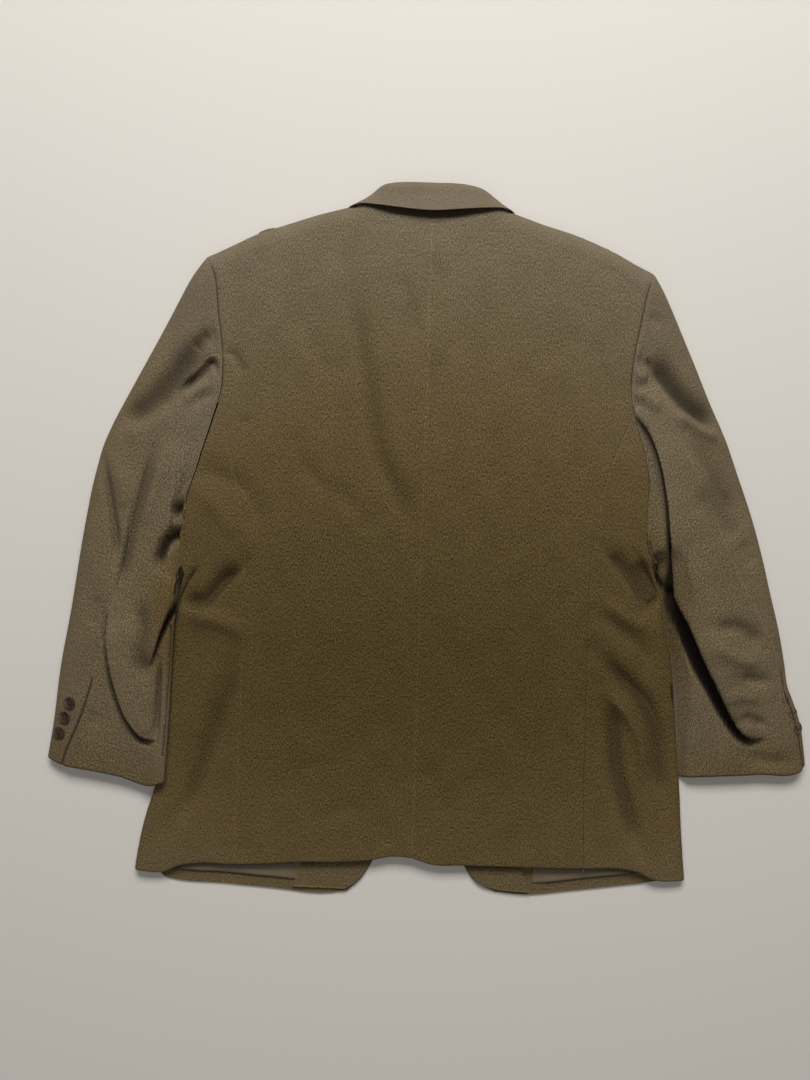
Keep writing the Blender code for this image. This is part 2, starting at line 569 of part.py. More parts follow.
def sleeve_panels(key, side):
    """The top sleeve and the under sleeve, and the armhole shares that the body follows."""
    sleeve = Sleeve(side, key)
    line = sleeve.seam_shares(side["hind_seam"])
    s = np.linspace(0, 1, SLEEVE_ROWS + 1)
    hind = np.interp(s, line[:, 0], line[:, 1])
    hind[0] = share_at(side["armhole"], side["hind_seam"][0])
    junction = share_at(side["armhole"], side["back_seam"][-1])
    split = (junction - hind[0]) / (1 - hind[0])
    beyond = np.concatenate([np.linspace(0, split, 3), split + (1 - split) * UNDER_SLEEVE])
    over = hind[:, None] * TOP_SLEEVE
    under = hind[:, None] + (1 - hind[:, None]) * beyond
    top_q = np.hstack([np.tile(2 - BELOW_SHARES[:-1], (len(s), 1)), over])
    under_q = np.hstack([under, np.tile(2 - UNDERARM_SHARES, (len(s), 1))])
    for name, q in (("top", top_q), ("under", under_q)):
        grid = sleeve.point(np.tile(s[:, None], (1, q.shape[1])), q)
        panel(f"sleeve_{name}_{key}", inset(grid, ARMHOLE_INSET), flip=key == "left")
    return sleeve, np.concatenate([over[0], under[0, 1:]]), junction


def collar_panel():
    """The collar: a stand that rises from the neck seam, folds over and falls as the leaf."""
    rows = np.array([[*n, *f, *e, *b] for n, f, e, b in COLLAR], float)
    rows = along(rows, np.linspace(0, 1, COLLAR_ROWS + 1))
    lines = []
    for row in rows:
        neck, fold, edge, facing = row[0:3], row[3:6], row[6:9], row[9:12]
        facing = facing / np.linalg.norm(facing) * COLLAR_TURN
        rise = (fold - neck) / np.linalg.norm(fold - neck)
        section = [neck, neck * 0.5 + (fold - facing) * 0.5, fold - facing,
                   fold + rise * COLLAR_TURN, fold + facing,
                   (fold + facing) * 0.55 + edge * 0.45, edge]
        lines.append(along(section, COLLAR_SECTION))
    grid = np.stack(lines, axis=1)
    grid[..., 2] = np.maximum(grid[..., 2], CLOTH / 2 + 0.8)
    return panel("collar", grid, offset=0.0)


def button(name, diameter, place, normal):
    """A round button with a raised rim, turned from its profile."""
    r, d = diameter / 2, BUTTON_DEPTH
    profile = [(0, 0), (0.62 * r, 0), (r, 0.42 * d), (0.9 * r, d), (0.68 * r, 0.74 * d),
               (0, 0.74 * d)]
    mesh = bpy.data.meshes.new(name)
    mesh.from_pydata([(x * MM, 0, z * MM) for x, z in profile[::-1]],
                     [(k, k + 1) for k in range(len(profile) - 1)], [])
    made = bpy.data.objects.new(name, mesh)
    jacket.objects.link(made)
    screw = made.modifiers.new("turned", "SCREW")
    screw.steps = screw.render_steps = BUTTON_STEPS
    screw.use_merge_vertices = True
    screw.merge_threshold = 0.00001
    made.location = [(c - m) * MM for c, m in zip(place, (*MIDDLE, 0))]
    made.rotation_euler = Vector(normal).to_track_quat("Z", "Y").to_euler()
    mesh.materials.append(material_named("horn"))
    return made


def cuff_button(name, sleeve, place):
    """A sleeve button, sewn to the sleeve's outer face where it lies."""
    s, q = np.meshgrid(np.linspace(0.5, 1, 200), np.linspace(0.005, 0.4, 200), indexing="ij")
    faces = sleeve.point(s, q)
    k = np.argmin(np.linalg.norm(faces[..., :2] - np.array(place), axis=-1))
    i, j = np.unravel_index(k, s.shape)
    i, j = np.clip(i, 3, 196), np.clip(j, 3, 196)
    normal = np.cross(faces[i + 3, j] - faces[i - 3, j], faces[i, j + 3] - faces[i, j - 3])
    normal *= np.sign(normal[2]) / np.linalg.norm(normal)
    button(name, BUTTON_SLEEVE, faces[i, j] + normal * BUTTON_SHANK, normal)


# ---------------------------------------------------------------- the jacket
for old in list(bpy.data.objects):
    bpy.data.objects.remove(old, do_unlink=True)
jacket = bpy.data.collections.new(NAME)
bpy.context.scene.collection.children.link(jacket)

for key, side in (("left", LEFT), ("right", RIGHT)):
    sleeve, shares, junction = sleeve_panels(key, side)
    back_panel(f"back_{key}", side, shares, junction)
    under_seam = side_panel(f"side_{key}", side, shares, junction)
    front_panel(f"front_{key}", side, under_seam, key == "right")
    lapel_panel(f"lapel_{key}", side)
    facing_panel(f"facing_{key}", side)
    lining_panel(f"lining_{key}", side)
    flap_panel(f"flap_{key}", side)
    for number, place in enumerate(side["cuff_buttons"], 1):
        cuff_button(f"cuff_button_{key}_{number}", sleeve, place)
collar_panel()
for number, place in enumerate(FRONT_BUTTONS, 1):
    button(f"front_button_{number}", BUTTON_FRONT, (*place, FRONT_LEVEL - LAYER), (0, 0, -1))
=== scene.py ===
import bmesh
import bpy
import numpy as np
from mathutils import Matrix, Vector


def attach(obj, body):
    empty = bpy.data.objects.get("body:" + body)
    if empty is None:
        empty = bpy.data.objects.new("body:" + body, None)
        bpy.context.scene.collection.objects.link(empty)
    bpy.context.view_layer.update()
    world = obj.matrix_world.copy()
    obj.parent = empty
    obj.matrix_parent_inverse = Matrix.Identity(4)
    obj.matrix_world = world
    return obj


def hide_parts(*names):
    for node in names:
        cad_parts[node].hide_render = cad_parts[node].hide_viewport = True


# A man's suit jacket of olive-brown worsted wool, buttoned and laid face down on a pale table.
# Lengths in the tables are millimetres, seen from above: x to the right, y towards the collar.
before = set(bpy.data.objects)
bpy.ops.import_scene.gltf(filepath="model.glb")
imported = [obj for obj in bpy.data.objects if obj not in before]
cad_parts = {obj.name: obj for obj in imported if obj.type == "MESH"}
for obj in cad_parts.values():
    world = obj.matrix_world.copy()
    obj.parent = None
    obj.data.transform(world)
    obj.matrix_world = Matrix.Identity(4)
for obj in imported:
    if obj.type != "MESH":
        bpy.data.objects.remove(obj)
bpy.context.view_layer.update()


# ---------------------------------------------------------------- the back
# Two halves of worsted, joined at the centre seam and pressed open. Each half is one thin sheet,
# crowned over the hollow body, with the creases that it has from being worn and laid down.
MM = 0.001
MIDDLE = (0.25, -6.43)      # the middle of the outline, which is the frame's origin
CENTRE_X = -13.0
CLOTH = 1.2
DEPTH = 1.6                 # how deep the creases lie, against the rounded figures below
CELL = 2.2                  # size of a cell of the upper cloth
SHOULDER_EDGE = 15.6        # height of the back's edge at the shoulder seam
SHOULDER_ROUND = 22.0
SIDE_EDGE = 6.5
SIDE_ROUND = 9.0
LOWEST_TOP = 5.6            # the upper cloth stays this high, clear of the fronts
SEWN = (0.0, 0.45, 1.0, 1.7, 2.8)   # places of the first threads beside a sewn edge
HALF_WIDTH, HALF_LENGTH = 290, 380
# The edge of the shadow below the collar's leaf: its middle, how far it curves, half its width.
LEAF_X, LEAF_Y, LEAF_CURVE, LEAF_HALF = -12, 366.5, 14.0, 84.0

LEFT = dict(
    shoulder=[(-273, 317), (-243, 332), (-217, 345.5), (-181, 358.5), (-145, 371), (-104, 382.5)],
    armhole=[(-273, 317), (-263, 302), (-254, 250), (-248, 196), (-248.5, 169), (-259, 130),
             (-275, 78), (-288, 30), (-288, -4), (-282, -28), (-276, -46)],
    back_seam=[(-220, -385), (-219, -345), (-217, -225), (-216, -134), (-217, -15), (-226, 50),
               (-238, 95), (-251.5, 149)],
    side_fold=[(-336, -396), (-332, -367), (-325, -332), (-315, -297), (-307, -197), (-304, -150),
               (-300, -115), (-295, -85), (-284, -58), (-276, -46)],
    neck=[(-104, 382.5), (-82, 387), (-48, 384.5), (CENTRE_X, 382.6)],
    hem=[(-336, -396), (-303, -397), (-282, -388), (-264, -385), (-220, -385), (-143, -380),
         (-58, -374.5), (-37, -370), (CENTRE_X, -371)],
)
RIGHT = dict(
    shoulder=[(246, 314), (223, 325.5), (202, 337), (177, 348), (149, 358.5), (116, 368),
              (78, 381)],
    armhole=[(246, 314), (239, 298), (229, 248), (223, 211), (222, 174), (228, 144), (240, 107),
             (246, 80), (246, 34), (248, 3), (258, -25)],
    back_seam=[(186.5, -382), (183, -249), (182.5, -187), (182, -79), (183, -14), (188, 26),
               (199, 82), (226, 152)],
    side_fold=[(306, -389), (303, -360), (300, -326), (296.5, -279), (292, -233), (287.5, -183),
               (285, -155), (275, -99), (266, -56), (258, -25)],
    neck=[(78, 381), (57, 386.5), (24, 384.5), (CENTRE_X, 382.6)],
    hem=[(306, -389), (270, -388.5), (250, -380), (234, -377), (186.5, -377.5), (110, -378),
         (47, -378), (10, -378), (CENTRE_X, -371)],
)
SIDES = (("left", LEFT), ("right", RIGHT))
# Height of the back over the table: y, at the centre seam, at the side.
BACK_HEIGHTS = [(-400, 12.5, 10.5), (-280, 17, 11), (-150, 22, 11), (-60, 26, 13), (0, 29, 17),
                (100, 33, 24), (200, 35, 29), (300, 35, 35), (400, 33, 34)]
# Soft creases: height (a trough is negative), reach to the left and right of the way, points.
BODY_CREASES = [
    (-3.8, 13, 9, [(-110, 314), (-93, 242), (-75, 154), (-64, 95), (-36, 36), (-19, -23)]),
    (-2.0, 8, 8, [(-50, 308), (-36, 268), (-27, 225)]),
    (-0.9, 10, 10, [(-162, 253), (-142, 212), (-121, 179)]),
    (-1.4, 12, 10, [(-157, 98), (-138, 65), (-102, 43), (-78, 15)]),
    (-0.7, 7, 7, [(-215, 332), (-213, 305), (-228, 284)]),
    (-2.2, 7, 4, [(-245, 210), (-232, 198), (-225, 180)]),
    (-1.0, 5, 5, [(-228, 127), (-214, 129)]),
    (-2.4, 13, 8, [(-278, 71), (-239, 62), (-218, 50), (-197, 0)]),
    (1.8, 11, 11, [(-270, 46), (-244, 23), (-226, -8)]),
    (-8.0, 13, 3.5, [(-292, -82), (-262, -84), (-242, -61), (-217, -38)]),
    (3.2, 10, 10, [(-284, -97), (-247, -102), (-214, -115)]),
    (-4.4, 10, 10, [(-226, -134), (-231, -177), (-253, -247), (-274, -310), (-293, -345)]),
    (2.4, 12, 12, [(-247, -140), (-262, -192), (-276, -253)]),
    (-0.8, 7, 7, [(-144, -271), (-124, -264)]),
    (-0.9, 10, 10, [(-122, -330), (-92, -316), (-72, -318)]),
    (-1.0, 10, 10, [(-51, -324), (-41, -360)]),
    (-6.0, 5, 13, [(251, -75), (239, -53), (220, -28), (198, -8)]),
    (-6.0, 12, 5, [(251, -74), (260, -61), (250, -34), (238, -12)]),
    (2.6, 9, 9, [(197, -61), (228, -85), (258, -98)]),
    (-2.2, 9, 9, [(189, -77), (220, -100), (248, -121), (265, -144)]),
    (-6.2, 10, 10, [(190, -121), (224, -154), (252, -183), (266, -218), (272, -263), (280, -304)]),
    (-2.2, 3, 3, [(266, -55), (259, -61), (250, -69)]),
    (3.6, 7, 7, [(205, -171), (232, -199), (248, -228), (252, -266)]),
    (-6.2, 9, 9, [(203, -164), (216, -208), (223, -264), (236, -310), (255, -360)]),
    (-1.1, 9, 9, [(-3, -256), (17, -298), (28, -328)]),
    (-0.8, 10, 10, [(82, -182), (107, -227), (115, -261)]),
    (-0.8, 9, 9, [(148, -214), (167, -239), (177, -282)]),
    (-1.0, 12, 12, [(145, 238), (172, 225), (182, 203)]),
    (-0.6, 6, 6, [(195, 322), (203, 276)]),
    (-0.5, 10, 10, [(-11, 316), (9, 287), (13, 250)]),
    (0.4, 9, 9, [(-14, 336), (7, 316)]),
    (-1.8, 9, 9, [(5, 222), (-2, 165), (2, 100)]),
    (0.8, 8, 8, [(194, 217), (210, 183)]),
]


def steps_of(line):
    """How far each point of a line lies from the one before."""
    return np.linalg.norm(np.diff(line, axis=0), axis=1)


def along(points, shares):
    """Points at the given shares of the length of a smooth curve through some points."""
    p = np.asarray(points, float)
    knots = np.concatenate([[0], np.cumsum(steps_of(p))])
    knots /= knots[-1]
    slopes = np.gradient(p, knots, axis=0)
    shares = np.asarray(shares, float)
    k = np.clip(np.searchsorted(knots, shares, side="right") - 1, 0, len(p) - 2)
    h = (knots[k + 1] - knots[k])[:, None]
    t = ((shares - knots[k]) / (knots[k + 1] - knots[k]))[:, None]
    return ((2 * t**3 - 3 * t**2 + 1) * p[k] + (t**3 - 2 * t**2 + t) * h * slopes[k]
            + (3 * t**2 - 2 * t**3) * p[k + 1] + (t**3 - t**2) * h * slopes[k + 1])


def ease(t):
    t = np.clip(t, 0, 1)
    return t * t * (3 - 2 * t)


def ramp(value, start, end):
    return ease((value - start) / (end - start))


def bell(gap, reach):
    """1 on a line, and softly less on both sides of it."""
    return np.exp(-(gap / reach) ** 2)


def length_of(line):
    return steps_of(line).sum()


def share_at(line, point):
    dense = along(line, np.linspace(0, 1, 2001))
    return np.argmin(np.linalg.norm(dense - np.array(point, float), axis=1)) / 2000


def beside(points, line):
    """How far points lie to the left of a line, their share of its length and the way left."""
    line = np.asarray(line, float)
    lengths = steps_of(line)
    starts = np.concatenate([[0], np.cumsum(lengths)])
    best = np.full(len(points), 1e9)
    side = np.ones(len(points))
    share = np.zeros(len(points))
    out = np.zeros((len(points), 2))
    for k, length in enumerate(lengths):
        way = (line[k + 1] - line[k]) / length
        off = points - line[k]
        t = np.clip(off @ way, 0, length)
        gap_way = off - t[:, None] * way
        gap = np.linalg.norm(gap_way, axis=1)
        near = gap < best
        best[near] = gap[near]
        side[near] = np.where(way[0] * off[near, 1] - way[1] * off[near, 0] < 0, -1, 1)
        share[near] = (starts[k] + t[near]) / starts[-1]
        left = np.array([-way[1], way[0]])
        sure = gap[near, None] > 0.05
        pointed = gap_way[near] / np.maximum(gap[near, None], 1e-6) * side[near, None]
        out[near] = np.where(sure, pointed, left)
    return best * side, share, out


def close_to(points, line, reach):
    """Which points lie in the box round a line, widened by a reach."""
    low, high = line.min(axis=0) - reach, line.max(axis=0) + reach
    return ((points > low) & (points < high)).all(axis=-1)


def soft_creases(plan, creases):
    """Height that soft troughs and ridges add at each point seen from above."""
    total = np.zeros(plan.shape[:-1])
    for height, left, right, points in creases:
        line = along(points, np.linspace(0, 1, 30))
        near = close_to(plan, line, 3 * max(left, right))
        gap, share, _ = beside(plan[near], line)
        reach = np.where(gap > 0, left, right)
        strength = 0.25 + 0.75 * ramp(share, 0, 0.25) * ramp(1 - share, 0, 0.25)
        total[near] += height * bell(gap, reach) * strength
    return total * DEPTH


def in_folds(plan, creases, start, end):
    """How deep points lie in the creases, from 0 to 1, which sets the painted shade inside a fold.
    """
    return ramp(-soft_creases(plan, creases), start, end)


def unevenness(plan):
    """The slight waviness of cloth that has been worn and folded, a few tenths of a millimetre."""
    x, y = plan[..., 0], plan[..., 1]
    waves = ((0.22, 0.061, 0.023, 0.4), (0.18, -0.038, 0.052, 2.1), (0.12, 0.113, 0.071, 4.4),
             (0.10, 0.094, -0.128, 1.3), (0.07, 0.187, 0.105, 5.2))
    return sum(a * np.sin(kx * x + ky * y + phase + 0.8 * np.sin(0.021 * x - 0.017 * y + phase))
               for a, kx, ky, phase in waves)


def rounding(gap, reach):
    t = 1 - np.clip(gap / reach, 0, 1)
    return np.sqrt(np.maximum(1 - t * t, 0))


def away(plan, line):
    gap, _, _ = beside(plan.reshape(-1, 2), line)
    return np.abs(gap).reshape(plan.shape[:-1])


def read_off(table, value, column=1):
    """The figure that a table gives for a value in its first column."""
    rows = np.array(table, float)
    return np.interp(value, rows[:, 0], rows[:, column])


def rounded_over(plan, height, shoulder_edge):
    """A height that rounds over to its edges at the shoulders and the side folds."""
    for _, side in SIDES:
        for line, edge, reach in ((side["shoulder"], shoulder_edge, SHOULDER_ROUND),
                                  (side["side_fold"], SIDE_EDGE, SIDE_ROUND)):
            height = edge + (height - edge) * rounding(away(plan, line), reach)
    return height


def back_height(plan):
    """Height of the back's outer face, crowned along the middle."""
    x, y = plan[..., 0], plan[..., 1]
    crown, edge = read_off(BACK_HEIGHTS, y), read_off(BACK_HEIGHTS, y, 2)
    limits = []
    for _, side in SIDES:
        line = np.array(side["side_fold"] + side["armhole"][::-1][1:], float)
        limits.append(np.interp(y, line[:, 1], line[:, 0]))
    limit = np.where(x < CENTRE_X, *limits)
    out = np.clip((x - CENTRE_X) / (limit - CENTRE_X), 0, 1)
    top = edge + (crown - edge) * (1 - out ** 2.6)
    top += soft_creases(plan, BODY_CREASES) + unevenness(plan)
    return np.maximum(rounded_over(plan, top, SHOULDER_EDGE), LOWEST_TOP)


def spaced(length, start=True, end=True, cell=None):
    """Shares along a length that lie closer together beside a sewn edge."""
    cell = cell or CELL
    near, far = np.array(SEWN if start else [0.0]), np.array(SEWN if end else [0.0])
    middle = length - near[-1] - far[-1]
    inner = near[-1] + middle * np.linspace(0, 1, max(2, int(middle / cell) + 1))
    return np.concatenate([near[:-1], inner, (length - far[:-1])[::-1]]) / length


def spread(bottom, top, left, right, across, up):
    """Grid of points between four edges, at the given shares across and up."""
    u, v = across[None, :, None], up[:, None, None]
    corners = ((1 - u) * (1 - v) * bottom[0] + u * (1 - v) * bottom[-1]
               + (1 - u) * v * top[0] + u * v * top[-1])
    return ((1 - v) * bottom[None] + v * top[None] + (1 - u) * left[:, None]
            + u * right[:, None] - corners)


def faces_out(grid, flip):
    """The way out of a sheet at each point."""
    down = np.gradient(grid, axis=0)
    across = np.gradient(grid, axis=1)
    out = np.cross(across, down)
    out /= np.maximum(np.linalg.norm(out, axis=-1, keepdims=True), 1e-9)
    return -out if flip else out


def press(grid, flip, edges):
    """Sinks the sewn edges of a sheet and raises the pressed allowance that lies below them."""
    out = faces_out(grid, flip)
    shaped = grid.copy()
    nearest = np.full(grid.shape[:2], 1e9)
    for edge, sink, lift in edges:
        axis = 0 if edge in ("bottom", "top") else 1
        steps = np.linalg.norm(np.diff(grid, axis=axis), axis=-1)
        run = np.concatenate([np.zeros_like(np.take(steps, [0], axis)),
                              np.cumsum(steps, axis=axis)], axis=axis)
        if edge in ("top", "right"):
            run = np.take(run, [-1], axis) - run
        rise = lift * bell(run - 6.0, 4.5) - sink * bell(run, 1.1)
        shaped += out * rise[..., None]
        nearest = np.minimum(nearest, run)
    return shaped, nearest


def weave_of(grid):
    """Where points lie on the flat cloth: the drop towards its edges is added outwards."""
    out = np.dstack([(grid[..., 0] - CENTRE_X) / HALF_WIDTH, grid[..., 1] / HALF_LENGTH])
    return grid[..., :2] - grid[..., 2:] * out


def new_object(name, data):
    made = bpy.data.objects.new(name, data)
    bpy.context.scene.collection.objects.link(made)
    return made


def sheet_of(name, grid, weave, seam, painted_sheen, material, thickness=CLOTH, flip=False, fold=0.0):
    """A thin sheet of cloth from a grid of points, with the run of its threads as its UV map."""
    rows, columns = grid.shape[:2]
    index = np.arange(rows * columns).reshape(rows, columns)
    quads = np.stack([index[:-1, :-1], index[:-1, 1:], index[1:, 1:], index[1:, :-1]], axis=-1)
    quads = quads.reshape(-1, 4)
    if flip:
        quads = quads[:, ::-1]
    mesh = bpy.data.meshes.new(name)
    placed = (grid - [*MIDDLE, 0]) * MM
    mesh.from_pydata(placed.reshape(-1, 3).tolist(), [], quads.tolist())
    threads = mesh.uv_layers.new(name="Weave")
    corners = np.empty(len(mesh.loops), int)
    mesh.loops.foreach_get("vertex_index", corners)
    threads.data.foreach_set("uv", (weave.reshape(-1, 2)[corners] * MM).astype("f").ravel())
    # The rubbed seams, the painted sheen and the painted shade are kept as attributes.
    for label, values in (("seam", seam), ("painted_sheen", painted_sheen), ("fold", fold)):
        layer = mesh.attributes.new(label, "FLOAT", "POINT")
        layer.data.foreach_set("value", np.broadcast_to(values, (rows, columns))
                               .astype("f").ravel())
    mesh.shade_smooth()
    mesh.materials.append(material)
    made = new_object(name, mesh)
    wall = made.modifiers.new("thickness of the cloth", "SOLIDIFY")
    wall.thickness = thickness * MM
    wall.offset = -1.0
    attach(made, "root")
    return made


class Finish:
    """A material under way, with the nodes round its shader."""

    def __init__(self, name, **settings):
        self.made = bpy.data.materials.new(name)
        self.made.use_nodes = True
        self.nodes, self.links = self.made.node_tree.nodes, self.made.node_tree.links
        self.shader = self.nodes["Principled BSDF"]
        self.put(self.shader, **settings)

    def put(self, node, **settings):
        for label, value in settings.items():
            node.inputs[label.replace("_", " ")].default_value = value

    def threads(self):
        """Places along and across the threads of the cloth."""
        weave = self.nodes.new("ShaderNodeUVMap")
        weave.uv_map = "Weave"
        return weave.outputs["UV"]

    def reading(self, label):
        attribute = self.nodes.new("ShaderNodeAttribute")
        attribute.attribute_name = label
        return attribute.outputs["Fac"]

    def grain(self, places, scale, **settings):
        """Noise with its own scale each way."""
        size = self.nodes.new("ShaderNodeMapping")
        noise = self.nodes.new("ShaderNodeTexNoise")
        self.put(size, Scale=scale)
        self.put(noise, Scale=1.0, **settings)
        self.links.new(places, size.inputs["Vector"])
        self.links.new(size.outputs["Vector"], noise.inputs["Vector"])
        return noise.outputs["Fac"]

    def tones(self, value, *stops):
        """Colours at their places along a value."""
        band = self.nodes.new("ShaderNodeValToRGB")
        stops_made = band.color_ramp.elements
        for _ in stops[2:]:
            stops_made.new(0.5)
        for stop, (place, colour) in zip(stops_made, stops):
            stop.position = place
            stop.color = (*colour, 1)
        self.links.new(value, band.inputs["Fac"])
        return band.outputs["Color"]

    def spread_out(self, value, low, high, to_low, to_high):
        span = self.nodes.new("ShaderNodeMapRange")
        for socket, number in zip(list(span.inputs)[1:5], (low, high, to_low, to_high)):
            socket.default_value = number
        self.links.new(value, span.inputs[0])
        return span.outputs[0]

    def blend(self, kind, factor, a, b):
        mix = self.nodes.new("ShaderNodeMix")
        mix.data_type = "RGBA"
        mix.blend_type = kind
        for socket, value in zip((mix.inputs[0], mix.inputs[6], mix.inputs[7]), (factor, a, b)):
            if isinstance(value, (int, float)):
                socket.default_value = value
            elif isinstance(value, tuple):
                socket.default_value = (*value, 1)
            else:
                self.links.new(value, socket)
        return mix.outputs[2]

    def coloured(self, colour):
        self.links.new(colour, self.shader.inputs["Base Color"])
        return self.made


def worsted(name, dark, warm, grey, streak, sheen):
    """Fine wool cloth: a salt-and-pepper grain in short streaks along the warp."""
    wool = Finish(name, Roughness=0.86, Specular_IOR_Level=0.15, Sheen_Weight=sheen,
                  Sheen_Roughness=0.45, Sheen_Tint=(0.8, 0.76, 0.7, 1))
    threads, painted_sheen = wool.threads(), wool.reading("painted_sheen")

    def streaks(scale, detail):
        return wool.grain(threads, (*scale, 1.0), Detail=detail, Roughness=0.6)

    # The colour runs from dark through warm to grey as the painted sheen grows.
    body = wool.tones(painted_sheen, (0.0, dark), (0.5, warm), (1.0, grey))
    mottle = wool.spread_out(streaks((38, 30), 3.0), 0.3, 0.7, 0.93, 1.07)
    short = wool.spread_out(streaks((950, 420), 1.0), 0.3, 0.7, 1 - streak, 1 + streak)
    pepper = wool.spread_out(streaks((1500, 1250), 0.0), 0.3, 0.7,
                             1 - 0.7 * streak, 1 + 0.7 * streak)
    worn = wool.spread_out(wool.reading("seam"), 0.0, 1.0, 1.0, 1.28)
    # Painted shade darkens the cloth in folds and hollows.
    shaded = wool.spread_out(wool.reading("fold"), 0.0, 1.0, 1.0, 0.12)
    for value in (mottle, worn, shaded):
        body = wool.blend("MULTIPLY", 1.0, body, value)
    grained = wool.blend("MULTIPLY", 1.0, wool.blend("MULTIPLY", 1.0, body, short), pepper)
    bump = wool.nodes.new("ShaderNodeBump")
    wool.put(bump, Strength=0.2, Distance=0.0003)
    wool.links.new(streaks((1700, 600), 1.0), bump.inputs["Height"])
    wool.links.new(bump.outputs["Normal"], wool.shader.inputs["Normal"])
    # The grain shows less where the painted sheen is strong.
    contrast = wool.spread_out(painted_sheen, 0.0, 1.0, 1.15, 0.5)
    return wool.coloured(wool.blend("MIX", contrast, body, grained))


# Dark, warm and grey: the cloth with no, some and full painted sheen.
WOOL = worsted("olive brown worsted", (0.069, 0.047, 0.014), (0.108, 0.075, 0.029),
               (0.164, 0.134, 0.092), 0.75, 0.05)
# How much painted sheen lightens and greys the cloth: y, share.
PAINTED_SHEEN = [(-400, 0.50), (-330, 0.40), (-275, 0.22), (-200, 0.08), (-120, 0.06), (0, 0.25),
         (130, 0.50), (270, 0.70), (350, 0.84), (430, 0.95)]


def painted_body_sheen(plan):
    """Painted sheen: the cloth is lighter and greyer over the shoulders, the flanks and the hem."""
    flank = 0.12 * ramp(np.abs(plan[..., 0] - CENTRE_X), 90, 300)
    return np.clip(read_off(PAINTED_SHEEN, plan[..., 1]) + flank, 0, 1)


def body_shade(plan):
    """How much painted shade darkens the cloth in the body's creases."""
    return 0.42 * in_folds(plan, BODY_CREASES, 2, 10)


def seam_wear(run):
    """How much paler the cloth is rubbed beside a sewn edge."""
    return bell(run, 1.1)


for key, side in SIDES:
    seam_rows = spaced(length_of(side["back_seam"]))
    junction = share_at(side["armhole"], side["back_seam"][-1])
    arm_length = length_of(side["armhole"]) * junction
    arm_rows = spaced(arm_length)[1:]
    outer = np.vstack([along(side["back_seam"], seam_rows),
                       along(side["armhole"], junction * (1 - arm_rows))])
    up = np.concatenate([seam_rows * length_of(side["back_seam"]),
                         length_of(side["back_seam"]) + arm_rows * arm_length])
    up /= up[-1]
    neck, shoulder = length_of(side["neck"]), length_of(side["shoulder"])
    across = spaced(neck + shoulder)
    split = neck / (neck + shoulder)
    seam_foot = share_at(side["hem"], side["back_seam"][0])
    bottom = along(side["hem"], 1 - (1 - seam_foot) * across)
    top = np.vstack([along(side["neck"], 1 - across[across <= split] / split),
                     along(side["shoulder"], 1 - (across[across > split] - split) / (1 - split))])
    bottom[-1], top[-1] = outer[0], outer[-1]
    centre = bottom[0] + up[:, None] * (top[0] - bottom[0])
    plan = spread(bottom, top, centre, outer, across, up)
    at_armhole = ramp(up[:, None], up[len(seam_rows)] - 0.01, up[len(seam_rows)] + 0.02)
    at_armhole = at_armhole * ramp(1 - up[:, None], 0.0, 0.03)
    edges = (("left", 0.4, 0.25), ("right", 0.4 + 1.3 * at_armhole, 0.25 + 0.5 * at_armhole),
             ("bottom", 0.9, 0.0), ("top", 0.4, 0.0))
    grid, run = press(np.dstack([plan, back_height(plan)]), side is LEFT, edges)
    # Painted shadow on the back under the collar's leaf, and painted shade in the creases.
    below_leaf = LEAF_Y + LEAF_CURVE * ((plan[..., 0] - CENTRE_X) / LEAF_HALF) ** 2
    by_leaf = np.abs(plan[..., 0] - LEAF_X) < LEAF_HALF
    shaded = 0.8 * ramp(plan[..., 1] - below_leaf, -1.2, 1.2) * by_leaf
    shaded = np.maximum(shaded, body_shade(plan))
    back = sheet_of(f"back_half_{key}", grid, weave_of(grid), seam_wear(run), painted_body_sheen(plan),
                    WOOL, flip=side is LEFT, fold=shaded)
    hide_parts(f"back_{key}")


# ---------------------------------------------------------------- the side panels
# A narrow panel of the same worsted on each side, from the back's seam round the side fold to
# the front's seam. It turns under at the fold, where the body lies double.
PANEL_WIDTH, UNDER_WIDTH = 95.0, 26.0
FRONT_LEVEL, FRONT_HEM_LEVEL = 3.7, 0.6
# The darkest spots, painted as shade only: the tuck at the end of the right trough, and the slit
# over the pocket flap.
BODY_SLITS = [
    (-4.0, 2.2, 2.2, [(267, -54), (259, -61), (249, -69)]),
    (-4.0, 2.0, 2.6, [(283.5, -155), (285, -170), (288, -188)]),
]
FRONT_FALL = (-215, -290)   # where along y the fronts come down to the table


def front_height(plan):
    """Height of the fronts' outer face, which lies flat and turns up to the shoulder edge."""
    fall = ramp(plan[..., 1], *FRONT_FALL)
    under = FRONT_LEVEL + (FRONT_HEM_LEVEL - FRONT_LEVEL) * fall
    return rounded_over(plan, under, SHOULDER_EDGE - CLOTH)


